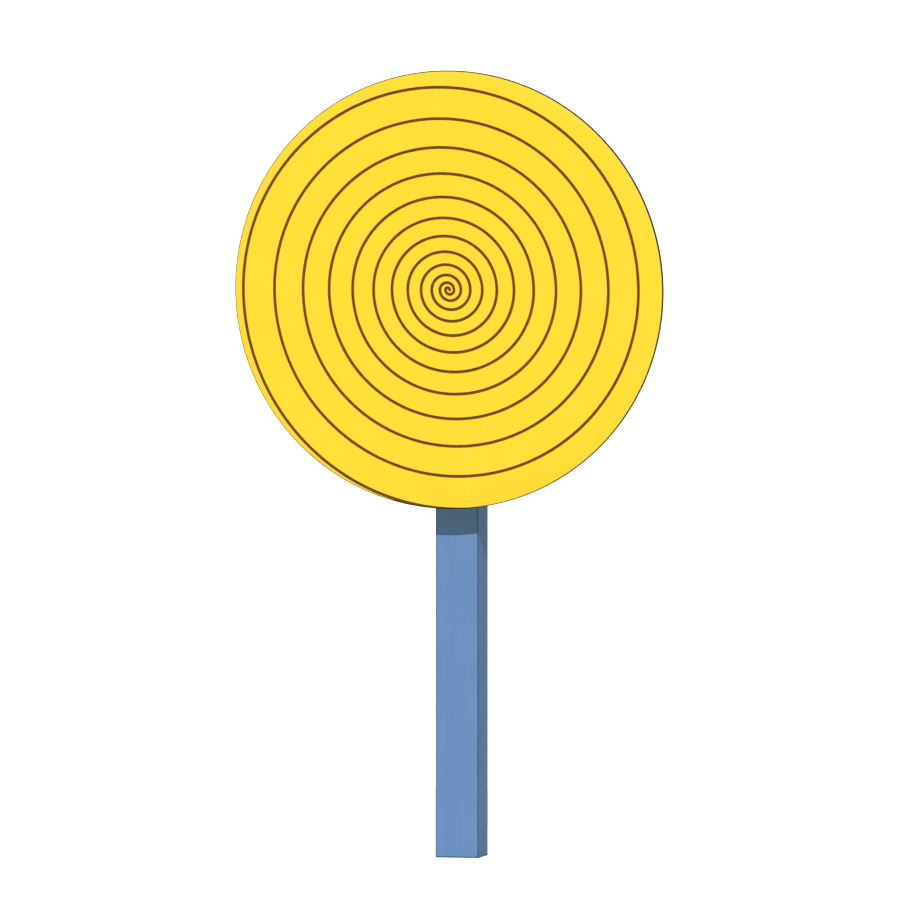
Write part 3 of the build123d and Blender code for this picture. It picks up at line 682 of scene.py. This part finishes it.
@dataclass(frozen=True)
class BareMetal(Finish):
    """Uncoated or zinc-coated metal."""

    light: Colour = (0.6, 0.6, 0.6)
    dark: Colour = (0.5, 0.5, 0.5)
    surface: MetalSurface = MetalSurface.ROLLED
    rough_low: float = 0.25
    rough_high: float = 0.4
    relief_depth: float = 0.03 * MM
    dust: Colour = srgb(150, 145, 135)
    dusty: float = 0.18
    turned_pitch: float = 0.5 * MM
    ground_pitch: float = 0.15 * MM
    spangle_scale: float = 230.0
    spangle_share: float = 0.35
    cloud_scale: float = 60.0
    crust_scale: float = 320.0
    blacking_scale: float = 350.0
    rolled_scale: float = 2200.0
    rolled_draw: float = 0.12

    def pattern(self, weave: Weave, place: Socket) -> tuple[Socket, Socket]:
        """The surface's relief and its value for colour and gloss.

        Args:
            weave: the material's node helper.
            place: the object-space position.

        Returns:
            The height and the tone.
        """
        if self.surface in (MetalSurface.TURNED, MetalSurface.GROUND):
            pitch = self.turned_pitch if self.surface is MetalSurface.TURNED else self.ground_pitch
            marks = Effects.place(weave, Effect.TURNING, {"Vector": place, "Pitch": pitch})
            return marks.outputs["Height"], marks.outputs["Streak"]
        if self.surface is MetalSurface.SPANGLED:
            cells = weave.put("ShaderNodeTexVoronoi", {"Vector": place, "Scale": self.spangle_scale})
            crystal = weave.put("ShaderNodeSeparateColor", {"Color": cells.outputs["Color"]}).outputs[0]
            cloud = weave.noise(place, self.cloud_scale, 5.0, 0.6)
            cloudy = weave.math("MULTIPLY", cloud, 1 - self.spangle_share)
            tone = weave.math("MULTIPLY_ADD", crystal, self.spangle_share, cloudy)
            return weave.noise(place, self.crust_scale, 4.0, 0.6), tone
        if self.surface is MetalSurface.BLACKED:
            tone = weave.noise(place, self.blacking_scale, 5.0, 0.7)
            return tone, tone
        rolled = weave.stretch(place, (self.rolled_draw, 1.0, 1.0))
        tone = weave.noise(rolled, self.rolled_scale, 3.0, 0.6)
        return tone, tone

    def make(self) -> Material:
        """Build the material."""
        material, weave, shader, place = self.start()
        shader.inputs["Metallic"].default_value = 1.0
        height, tone = self.pattern(weave, place)
        colour = weave.mix(weave.spread(tone, 0.2, 0.8), self.dark, self.light)
        dust = Effects.place(weave, Effect.DUST, {"Vector": place, "Amount": self.dusty})
        dulled = weave.mix(dust.outputs["Mask"], colour, self.dust)
        weave.tree.links.new(dulled, shader.inputs["Base Color"])
        rough = weave.spread(tone, 0.2, 0.8, self.rough_high, self.rough_low)
        weave.tree.links.new(weave.math("ADD", rough, dust.outputs["Mask"]), shader.inputs["Roughness"])
        self.relief(weave, shader, height, self.relief_depth, 0.5)
        return material


@dataclass(frozen=True)
class Moulded(CloudyFinish):
    """Moulded plastic or rubber with a fine pebbled skin."""

    cloud_scale: float = 40.0
    shine: float = 0.4
    rough: float = 0.5
    skin_scale: float = 900.0
    skin_depth: float = 0.05 * MM
    dust: Colour = srgb(150, 143, 130)
    dusty: float = 0.3

    def make(self) -> Material:
        """Build the material."""
        material, weave, shader, place = self.start()
        tint = self.clouds(weave, place)
        dust = Effects.place(weave, Effect.DUST, {"Vector": place, "Amount": self.dusty})
        colour = weave.mix(dust.outputs["Mask"], tint.outputs["Color"], self.dust)
        weave.tree.links.new(colour, shader.inputs["Base Color"])
        skin = Effects.place(
            weave, Effect.SPECKLE, {"Vector": place, "Scale": self.skin_scale, "Unevenness": 0.8}
        )
        self.relief(weave, shader, skin.outputs["Height"], self.skin_depth, 0.6)
        varied = weave.math("MULTIPLY_ADD", tint.outputs["Value"], 0.12, self.rough)
        dulled = weave.math("MULTIPLY_ADD", dust.outputs["Mask"], 0.3, varied)
        weave.tree.links.new(dulled, shader.inputs["Roughness"])
        shader.inputs["Specular IOR Level"].default_value = self.shine
        return material


FINISHES: dict[str, Finish] = {
    "yellow_decor": YellowDecor("yellow_decor"),
    "laminate_core": LaminateCore("laminate_core"),
    "blue_paint": PostPaint("blue_paint"),
    "hub_aluminium": BareMetal(
        "hub_aluminium", srgb(214, 216, 218), srgb(188, 190, 193), MetalSurface.TURNED, 0.26, 0.42
    ),
    "galvanised_steel": BareMetal(
        "galvanised_steel",
        srgb(190, 194, 198),
        srgb(164, 169, 174),
        MetalSurface.SPANGLED,
        0.36,
        0.52,
        relief_depth=0.04 * MM,
    ),
    "stainless_steel": BareMetal(
        "stainless_steel",
        srgb(208, 207, 203),
        srgb(196, 195, 191),
        MetalSurface.ROLLED,
        0.2,
        0.3,
        relief_depth=0.012 * MM,
    ),
    "turned_steel": BareMetal(
        "turned_steel", srgb(176, 176, 178), srgb(146, 146, 149), MetalSurface.TURNED, 0.24, 0.4
    ),
    "spring_steel": BareMetal(
        "spring_steel", srgb(70, 70, 72), srgb(48, 48, 50), MetalSurface.BLACKED, 0.4, 0.55
    ),
    "bearing_steel": BareMetal(
        "bearing_steel",
        srgb(214, 215, 218),
        srgb(196, 197, 200),
        MetalSurface.GROUND,
        0.08,
        0.18,
        relief_depth=0.01 * MM,
    ),
    "insert_brass": BareMetal(
        "insert_brass", srgb(214, 178, 98), srgb(190, 152, 76), MetalSurface.TURNED, 0.24, 0.38
    ),
    "seal_rubber": Moulded(
        "seal_rubber", srgb(42, 42, 43), srgb(30, 30, 31), rough=0.62, skin_scale=1400.0, dusty=0.2
    ),
    "cage_plastic": Moulded(
        "cage_plastic", srgb(222, 212, 184), srgb(208, 197, 168), rough=0.4, skin_scale=1200.0, dusty=0.0
    ),
    "cap_plastic": Moulded(
        "cap_plastic", srgb(58, 59, 62), srgb(44, 45, 48), rough=0.46, skin_scale=700.0, dusty=0.35
    ),
}


class Wardrobe:
    """Makes each finish once and gives it to the pieces."""

    def __init__(self) -> None:
        """Start with nothing made."""
        self.made: dict[str, Material] = {}

    def get(self, slot: str) -> Material:
        """The material of a slot."""
        if slot not in self.made:
            self.made[slot] = FINISHES[slot].make()
        return self.made[slot]

    def dress(self, piece: Object, slot: str) -> None:
        """Put one finish on a whole piece."""
        piece.data.materials.clear()
        piece.data.materials.append(self.get(slot))

    def dress_node(self, name: str) -> None:
        """Put the record's finish on a CAD node by its material slots."""
        slot = SLOT_OF[name]
        for holder in frame["nodes"][name].material_slots:
            holder.material = self.get(slot)
        log.info("node %s wears %s", name, slot)


# ------------------------------------------------------------------ modelling helpers


def clear_selection() -> None:
    """Leave edit mode and select nothing."""
    if bpy.context.mode != "OBJECT":
        bpy.ops.object.mode_set(mode="OBJECT")
    bpy.ops.object.select_all(action="DESELECT")


def hold(piece: Object) -> None:
    """Select one piece alone and make it active."""
    clear_selection()
    piece.select_set(True)
    bpy.context.view_layer.objects.active = piece


def settle(piece: Object) -> None:
    """Put a piece's place, turn and size into its mesh."""
    hold(piece)
    bpy.ops.object.transform_apply(location=True, rotation=True, scale=True)


def combine(piece: Object, other: Object, operation: str) -> None:
    """Cut a piece with another, or join the other to it, by an exact Boolean.

    Args:
        piece: the piece that changes.
        other: the piece that it is combined with, which stays.
        operation: DIFFERENCE or UNION.
    """
    hold(piece)
    modifier = piece.modifiers.new("combine", "BOOLEAN")
    modifier.operation = operation
    modifier.solver = "EXACT"
    modifier.object = other
    bpy.ops.object.modifier_apply(modifier=modifier.name)


def finish_piece(piece: Object, wardrobe: Wardrobe, slot: str, node: str, body: str, angle: float) -> None:
    """Smooth and dress a new piece, hide the CAD node that it replaces, and hang it on its body.

    Args:
        piece: the piece.
        wardrobe: where its finish comes from.
        slot: the record's material slot.
        node: the CAD node that it replaces.
        body: the body that it rides on.
        angle: the sharpest edge that is shaded smooth, in degrees.
    """
    hold(piece)
    bpy.ops.object.shade_smooth_by_angle(angle=math.radians(angle))
    wardrobe.dress(piece, slot)
    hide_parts(node)
    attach(piece, body)
    log.info("piece %s: %d faces", piece.name, len(piece.data.polygons))


def rod(name: str, diameter: float, y_low: float, y_high: float, x: float, z: float, sides: int) -> Object:
    """A round rod along Y.

    Args:
        name: the new piece's name.
        diameter: its diameter.
        y_low: where it starts.
        y_high: where it ends.
        x: its middle across.
        z: its middle's height.
        sides: how many sides it has.

    Returns:
        The rod.
    """
    clear_selection()
    bpy.ops.mesh.primitive_cylinder_add(
        vertices=sides,
        radius=diameter / 2,
        depth=y_high - y_low,
        location=(x, (y_low + y_high) / 2, z),
        rotation=(math.pi / 2, 0, 0),
    )
    piece = bpy.context.object
    piece.name = name
    settle(piece)
    return piece


def select_edges(piece: Object, wanted: Callable[[bmesh.types.BMEdge], bool]) -> None:
    """In edit mode, select only the edges that a test accepts.

    Args:
        piece: the piece, already in edit mode.
        wanted: the test of one edge.
    """
    bpy.ops.mesh.select_mode(type="EDGE")
    bpy.ops.mesh.select_all(action="DESELECT")
    mesh = bmesh.from_edit_mesh(piece.data)
    for edge in mesh.edges:
        if wanted(edge):
            edge.select_set(True)
    mesh.select_flush_mode()
    bmesh.update_edit_mesh(piece.data)


def lies_at(edge: bmesh.types.BMEdge, level: float) -> bool:
    """Whether both ends of an edge are at one level along Y."""
    return all(abs(vert.co.y - level) < SAME_PLACE for vert in edge.verts)


# ------------------------------------------------------------------ the laminated disc


@dataclass
class SpiralDisc:
    """The disc's yellow faces and brown core, with the spiral groove routed into its front."""

    wardrobe: Wardrobe
    groove_width: float = 6.0 * MM
    groove_depth: float = 2.0 * MM
    groove_ease: float = 0.15 * MM
    first_crossing: int = 2
    last_crossing: int = 26
    crossing_base: float = -1.0 * MM
    crossing_step: float = 0.45 * MM
    crossing_growth: float = 0.675 * MM
    arc_error: float = 0.04 * MM
    fewest_steps: int = 18
    groove_end_sides: int = 64
    rim_segments: int = 720
    rim_chamfer: float = 1.5 * MM
    rim_facets: int = 3
    rim_profile: float = 0.4
    face_edge_round: float = 0.1 * MM
    insert_count: int = 6
    insert_circle_radius: float = 90.0 * MM
    insert_hole: float = 12.1 * MM
    insert_sides: int = 48
    smooth_angle: float = 30.0

    def __post_init__(self) -> None:
        """Read the disc's size and place from the frame."""
        low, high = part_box("disc_core")
        rear_low, rear_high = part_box("disc_rear_face")
        self.radius = min(-low.x, high.x, high.z - AXLE_Z, AXLE_Z - low.z)
        self.front = DECOR_LOW.y
        self.front_back = DECOR_HIGH.y
        self.rear_front = rear_low.y
        self.rear = rear_high.y
        self.decor_thickness = self.front_back - self.front
        self.insert_low, self.insert_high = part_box("disc_inserts")

    def crossing(self, index: int) -> float:
        """Signed x of the groove's middle on the disc's level diameter: even right, odd left."""
        radius = self.crossing_base + self.crossing_step * index + self.crossing_growth * index**2
        return radius if index % 2 == 0 else -radius

    def groove_profile(self, name: str, x_middle: float) -> Object:
        """The cutter's cross-section, eased at the disc's surface.

        Args:
            name: the new object's name.
            x_middle: where its middle is along the level diameter.

        Returns:
            A flat six-cornered piece on the level plane through the axle.
        """
        clear_selection()
        bpy.ops.mesh.primitive_plane_add(size=1.0, location=(0, 0, 0))
        cutter = bpy.context.object
        cutter.name = name
        cutter.scale = (self.groove_width, self.groove_depth + OVERSHOOT, 1.0)
        cutter.location = (x_middle, self.front + (self.groove_depth - OVERSHOOT) / 2, AXLE_Z)
        settle(cutter)
        bpy.ops.object.mode_set(mode="EDIT")
        bpy.ops.mesh.select_all(action="SELECT")
        ease_level = self.front + self.groove_ease
        bpy.ops.mesh.bisect(plane_co=(0, ease_level, AXLE_Z), plane_no=(0, 1, 0))
        bpy.ops.mesh.select_mode(type="VERT")
        bpy.ops.mesh.select_all(action="DESELECT")
        mesh = bmesh.from_edit_mesh(cutter.data)
        for vert in mesh.verts:
            vert.select_set(vert.co.y < self.front - OVERSHOOT / 2)
        bmesh.update_edit_mesh(cutter.data)
        flare = 1 + 2 * (self.groove_ease + OVERSHOOT) / self.groove_width
        bpy.ops.transform.resize(value=(flare, 1, 1), center_override=(x_middle, 0, AXLE_Z))
        bpy.ops.object.mode_set(mode="OBJECT")
        return cutter

    def spiral_cutter(self) -> Object:
        """The whole groove as a solid: its profile spun through one half-circle after another."""
        cutter = self.groove_profile("groove_cutter", self.crossing(self.first_crossing))
        bpy.ops.object.mode_set(mode="EDIT")
        bpy.ops.mesh.select_mode(type="FACE")
        bpy.ops.mesh.select_all(action="SELECT")
        for turn in range(self.first_crossing, self.last_crossing):
            start, end = self.crossing(turn), self.crossing(turn + 1)
            bend = abs(end - start) / 2
            chord = math.sqrt(8 * bend * self.arc_error)
            steps = max(self.fewest_steps, math.ceil(math.pi * bend / chord))
            centre = ((start + end) / 2, 0.0, AXLE_Z)
            bpy.ops.mesh.spin(steps=steps, angle=math.pi, center=centre, axis=(0, 1, 0))
        bpy.ops.mesh.select_all(action="SELECT")
        bpy.ops.mesh.remove_doubles(threshold=SAME_PLACE)
        bpy.ops.mesh.normals_make_consistent(inside=False)
        bpy.ops.object.mode_set(mode="OBJECT")
        return cutter

    def round_end_cutter(self) -> Object:
        """Round start of the groove, as the bit leaves it at the middle of the disc."""
        bottom = self.front + self.groove_depth
        x_start = self.crossing(self.first_crossing)
        return rod(
            "groove_start_cutter",
            self.groove_width,
            self.front - OVERSHOOT,
            bottom,
            x_start,
            AXLE_Z,
            self.groove_end_sides,
        )

    def slab(self, name: str, y_front: float, y_back: float) -> Object:
        """One plain round layer of the disc.

        Args:
            name: the new piece's name.
            y_front: where its front face is.
            y_back: where its back face is.

        Returns:
            The layer.
        """
        return rod(name, 2 * self.radius, y_front, y_back, 0.0, AXLE_Z, self.rim_segments)

    def taper_rim(self, layer: Object, y_edge: float) -> None:
        """Cut a decor layer's rim back where it meets the open air, in line with the core's chamfer.

        Args:
            layer: the decor layer.
            y_edge: where its open face is.
        """
        hold(layer)
        bpy.ops.object.mode_set(mode="EDIT")
        bpy.ops.mesh.select_all(action="SELECT")
        core_edge = (self.radius - self.rim_chamfer) / self.radius
        bpy.ops.transform.resize(value=(core_edge, 1, core_edge), center_override=(0, 0, AXLE_Z))
        select_edges(layer, lambda edge: lies_at(edge, y_edge))
        face_edge = 1 - self.decor_thickness / (self.radius - self.rim_chamfer)
        bpy.ops.transform.resize(value=(face_edge, 1, face_edge), center_override=(0, 0, AXLE_Z))
        bpy.ops.mesh.bevel(offset=self.face_edge_round, segments=2, affect="EDGES")
        bpy.ops.object.mode_set(mode="OBJECT")

    def chamfer_core(self, layer: Object) -> None:
        """Chamfer both edges of the core's rim, a little rounded as a hand router leaves them."""
        hold(layer)
        bpy.ops.object.mode_set(mode="EDIT")
        for level in (self.front_back, self.rear_front):
            select_edges(layer, lambda edge, level=level: lies_at(edge, level))
            bpy.ops.mesh.bevel(
                offset=self.rim_chamfer, segments=self.rim_facets, profile=self.rim_profile, affect="EDGES"
            )
        bpy.ops.object.mode_set(mode="OBJECT")

    def insert_cutters(self) -> Object:
        """Short rods where the threaded inserts stand, joined in one piece, for their holes."""
        rods = []
        for index in range(self.insert_count):
            angle = math.tau * index / self.insert_count
            rods.append(
                rod(
                    "insert_cutter",
                    self.insert_hole,
                    self.insert_low.y,
                    self.insert_high.y + OVERSHOOT,
                    self.insert_circle_radius * math.cos(angle),
                    AXLE_Z + self.insert_circle_radius * math.sin(angle),
                    self.insert_sides,
                )
            )
        hold(rods[0])
        for other in rods:
            other.select_set(True)
        bpy.ops.object.join()
        return rods[0]

    def build(self) -> None:
        """Model the three layers, cut the groove and dress them."""
        front = self.slab("yellow_front", self.front, self.front_back)
        core = self.slab("brown_core", self.front_back, self.rear_front)
        rear = self.slab("yellow_rear", self.rear_front, self.rear)
        self.taper_rim(front, self.front)
        self.taper_rim(rear, self.rear)
        self.chamfer_core(core)
        cutters = [self.spiral_cutter(), self.round_end_cutter()]
        sockets = self.insert_cutters()
        for layer in (front, core):
            for cutter in cutters:
                combine(layer, cutter, "DIFFERENCE")
        for layer in (core, rear):
            combine(layer, sockets, "DIFFERENCE")
        for cutter in (*cutters, sockets):
            bpy.data.objects.remove(cutter)
        for layer, slot, node in (
            (front, "yellow_decor", "disc_front_face"),
            (core, "laminate_core", "disc_core"),
            (rear, "yellow_decor", "disc_rear_face"),
        ):
            finish_piece(layer, self.wardrobe, slot, node, "disc", self.smooth_angle)


# ------------------------------------------------------------------ the post's cap


@dataclass
class PostCap:
    """Moulded cap on the post: a thin shell with a skirt, a hipped top and a seat for its screw."""

    wardrobe: Wardrobe
    wall: float = 2.5 * MM
    flat_side: float = 30.0 * MM
    corner_round: float = 3.0 * MM
    edge_round: float = 1.2 * MM
    drip_depth: float = 1.0 * MM
    drip_width: float = 1.2 * MM
    drip_height: float = 3.0 * MM
    screw_hole: float = 5.0 * MM
    screw_seat: float = 11.0 * MM
    screw_sides: int = 64
    smooth_angle: float = 35.0

    def __post_init__(self) -> None:
        """Read the cap's size and place from the frame."""
        self.low, self.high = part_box("post_cap")
        self.side = self.high.x - self.low.x
        self.post_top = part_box("post")[1].z

    def block(self, name: str, side: float, bottom: float, top: float) -> Object:
        """A square upright block.

        Args:
            name: the new piece's name.
            side: the length of its sides.
            bottom: the height of its underside.
            top: the height of its top.

        Returns:
            The block.
        """
        clear_selection()
        bpy.ops.mesh.primitive_cube_add(size=1.0, location=(0, 0, (bottom + top) / 2))
        block = bpy.context.object
        block.name = name
        block.scale = (side, side, top - bottom)
        settle(block)
        return block

    def outside(self) -> Object:
        """The outer form: a skirt with rounded corners, and a low hipped top with eased edges."""
        brim = self.post_top + self.wall
        cap = self.block("moulded_cap", self.side, self.low.z, brim)
        bpy.ops.object.mode_set(mode="EDIT")
        select_edges(cap, lambda edge: abs(edge.verts[0].co.z - edge.verts[1].co.z) > SAME_PLACE)
        bpy.ops.mesh.bevel(offset=self.corner_round, segments=5, affect="EDGES")
        bpy.ops.mesh.select_mode(type="FACE")
        bpy.ops.mesh.select_all(action="DESELECT")
        mesh = bmesh.from_edit_mesh(cap.data)
        for face in mesh.faces:
            face.select_set(all(abs(vert.co.z - brim) < SAME_PLACE for vert in face.verts))
        bmesh.update_edit_mesh(cap.data)
        bpy.ops.mesh.extrude_region_move(TRANSFORM_OT_translate={"value": (0, 0, self.high.z - brim)})
        share = self.flat_side / self.side
        bpy.ops.transform.resize(value=(share, share, 1), center_override=(0, 0, self.high.z))
        least_fold = math.radians(20.0)
        select_edges(cap, lambda edge: edge.calc_face_angle(0.0) > least_fold)
        bpy.ops.mesh.bevel(offset=self.edge_round, segments=3, affect="EDGES", clamp_overlap=True)
        bpy.ops.object.mode_set(mode="OBJECT")
        return cap

    def hollow(self) -> Object:
        """The room that the post's end fills."""
        return self.block("cap_room", self.side - 2 * self.wall, self.low.z - OVERSHOOT, self.post_top)

    def drip_groove(self) -> Object:
        """A square ring that leaves a rain groove round the foot of the skirt."""
        bottom = self.low.z + self.drip_height
        top = bottom + self.drip_width
        ring = self.block("cap_groove", self.side + 4 * OVERSHOOT, bottom, top)
        inside = self.side - 2 * self.drip_depth
        core = self.block("cap_groove_core", inside, bottom - OVERSHOOT, top + OVERSHOOT)
        combine(ring, core, "DIFFERENCE")
        bpy.data.objects.remove(core)
        return ring

    def screw_way(self) -> Object:
        """The countersunk way for the screw."""
        clear_selection()
        bottom = self.post_top - OVERSHOOT
        top = self.high.z + OVERSHOOT
        bpy.ops.mesh.primitive_cylinder_add(
            vertices=self.screw_sides,
            radius=self.screw_hole / 2,
            depth=top - bottom,
            location=(0, 0, (bottom + top) / 2),
        )
        way = bpy.context.object
        way.name = "cap_screw_way"
        settle(way)
        clear_selection()
        drop = (self.screw_seat - self.screw_hole) / 2
        bpy.ops.mesh.primitive_cone_add(
            vertices=self.screw_sides,
            radius1=self.screw_hole / 2,
            radius2=self.screw_seat / 2 + OVERSHOOT,
            depth=drop + OVERSHOOT,
            location=(0, 0, self.high.z + (OVERSHOOT - drop) / 2),
        )
        seat = bpy.context.object
        settle(seat)
        combine(way, seat, "UNION")
        bpy.data.objects.remove(seat)
        return way

    def build(self) -> None:
        """Model the cap and dress it."""
        cap = self.outside()
        for cutter in (self.hollow(), self.drip_groove(), self.screw_way()):
            combine(cap, cutter, "DIFFERENCE")
            bpy.data.objects.remove(cutter)
        finish_piece(cap, self.wardrobe, "cap_plastic", "post_cap", "post", self.smooth_angle)


# ------------------------------------------------------------------ everything that keeps its CAD shape


@dataclass
class PostAndFixings:
    """The post with its foot, the cap's screw, the axle plate and the bolts."""

    wardrobe: Wardrobe
    nodes: tuple[str, ...] = (
        "post",
        "cap_screw",
        "foot_plate",
        "anchor_bar",
        "axle_plate",
        "plate_bolts",
        "plate_washers",
        "rear_washers",
        "rear_nuts",
    )

    def build(self) -> None:
        """Dress the nodes."""
        for name in self.nodes:
            self.wardrobe.dress_node(name)


@dataclass
class HubAndBearings:
    """The hub, its two bearings, and the axle that they turn on."""

    wardrobe: Wardrobe
    nodes: tuple[str, ...] = (
        "hub",
        "flange_bolts",
        "flange_washers",
        "disc_inserts",
        "front_circlip",
        "rear_circlip",
        "axle_shaft",
        "axle_seal",
        "inner_spacer",
        "lock_washer",
        "lock_nut",
    )
    bearings: tuple[str, ...] = ("front_bearing", "rear_bearing")
    bearing_parts: tuple[str, ...] = ("inner_ring", "outer_ring", "balls", "cage", "seals")

    def build(self) -> None:
        """Dress the nodes."""
        for name in self.nodes:
            self.wardrobe.dress_node(name)
        for bearing in self.bearings:
            for part in self.bearing_parts:
                self.wardrobe.dress_node(f"{bearing}_{part}")


# ------------------------------------------------------------------ studio


@dataclass
class Studio:
    """Plain pale floor, one key light, soft surrounding light, and the camera."""

    azimuth: float = 12.96
    elevation: float = 3.286
    distance: float = 49.108
    lens: float = 958.4
    target_right: float = 3.2 * MM
    target_drop: float = 328.4 * MM
    key_right: float = 0.3
    key_up: float = 0.792
    key_strength: float = 2.9
    key_softness: float = 0.6
    fill_strength: float = 0.28
    fill_softness: float = 60.0
    back_strength: float = 1.9
    back_softness: float = 80.0
    surround: float = 0.3
    floor_side: float = 600.0
    floor_grey: float = 0.62
    floor_glow: float = 0.85
    floor_rough: float = 0.95
    lamp_distance: float = 5.0
    sensor: float = 36.0
    nearest: float = 1.0
    farthest: float = 1000.0

    def floor(self) -> None:
        """Wide pale floor that looks evenly lit to the camera, as a studio's curved backdrop does."""
        clear_selection()
        bpy.ops.mesh.primitive_plane_add(size=self.floor_side, location=(0, 0, 0))
        ground = bpy.context.object
        ground.name = "studio_floor"
        material = bpy.data.materials.new("studio_floor")
        material.use_nodes = True
        shader = material.node_tree.nodes["Principled BSDF"]
        shader.inputs["Base Color"].default_value = (self.floor_grey,) * 3 + (1.0,)
        shader.inputs["Roughness"].default_value = self.floor_rough
        shader.inputs["Specular IOR Level"].default_value = 0.0
        shader.inputs["Emission Color"].default_value = (self.floor_glow,) * 3 + (1.0,)
        weave = Weave(material.node_tree)
        seen = weave.put("ShaderNodeLightPath").outputs["Is Camera Ray"]
        material.node_tree.links.new(seen, shader.inputs["Emission Strength"])
        ground.data.materials.append(material)

    def surroundings(self) -> None:
        """Even surround: a soft grey for lighting, and white where the camera sees past the floor."""
        world = bpy.data.worlds.new("studio_air")
        world.use_nodes = True
        tree = world.node_tree
        tree.nodes.clear()
        weave = Weave(tree)
        light = weave.put("ShaderNodeBackground", {"Color": (1.0, 1.0, 1.0), "Strength": self.surround})
        white = weave.put("ShaderNodeBackground", {"Color": (1.0, 1.0, 1.0), "Strength": 1.0})
        seen = weave.put("ShaderNodeLightPath").outputs["Is Camera Ray"]
        mixed = weave.put("ShaderNodeMixShader", {0: seen, 1: light.outputs[0], 2: white.outputs[0]})
        weave.put("ShaderNodeOutputWorld", {"Surface": mixed.outputs[0]})
        bpy.context.scene.world = world

    def lamp(self, name: str, towards: Vector, strength: float, softness: float) -> None:
        """One far lamp.

        Args:
            name: the lamp's name.
            towards: the direction from the object to the lamp.
            strength: its strength.
            softness: the angle that it covers, in degrees.
        """
        data = bpy.data.lights.new(name, "SUN")
        data.energy = strength
        data.angle = math.radians(softness)
        lamp = bpy.data.objects.new(name, data)
        lamp.location = towards.normalized() * self.lamp_distance
        lamp.rotation_mode = "QUATERNION"
        lamp.rotation_quaternion = towards.to_track_quat("Z", "Y")
        bpy.context.scene.collection.objects.link(lamp)

    def lights(self) -> None:
        """A crisp key from the front, above and a little right, with soft lights from the left and behind."""
        key_from = Vector((self.key_right, -1.0, self.key_up))
        fill_from = Vector((-0.6, -1.0, 0.2))
        back_from = Vector((-0.8, 1.0, 0.5))
        self.lamp("key_light", key_from, self.key_strength, self.key_softness)
        self.lamp("fill_light", fill_from, self.fill_strength, self.fill_softness)
        self.lamp("back_light", back_from, self.back_strength, self.back_softness)

    def camera(self) -> None:
        """Long lens, far away, a little to the right and above."""
        turn, lift = math.radians(self.azimuth), math.radians(self.elevation)
        level = math.cos(lift)
        back = Vector((math.sin(turn) * level, -math.cos(turn) * level, math.sin(lift)))
        target = Vector((self.target_right, DECOR_LOW.y, AXLE_Z - self.target_drop))
        data = bpy.data.cameras.new("studio_camera")
        data.lens = self.lens
        data.sensor_width = self.sensor
        data.clip_start = self.nearest
        data.clip_end = self.farthest
        camera = bpy.data.objects.new("studio_camera", data)
        camera.location = target + back * self.distance
        camera.rotation_mode = "QUATERNION"
        camera.rotation_quaternion = (-back).to_track_quat("-Z", "Y")
        bpy.context.scene.collection.objects.link(camera)
        bpy.context.scene.camera = camera

    def build(self) -> None:
        """Set the studio up."""
        self.floor()
        self.surroundings()
        self.lights()
        self.camera()
        bpy.context.scene.view_settings.view_transform = "Standard"


def main() -> None:
    """Build the studio and the object's sub-assemblies in order."""
    logging.basicConfig(level=logging.INFO, format="%(name)s: %(message)s")
    Studio().build()
    wardrobe = Wardrobe()
    SpiralDisc(wardrobe).build()
    PostCap(wardrobe).build()
    PostAndFixings(wardrobe).build()
    HubAndBearings(wardrobe).build()


if __name__ == "__main__":
    main()
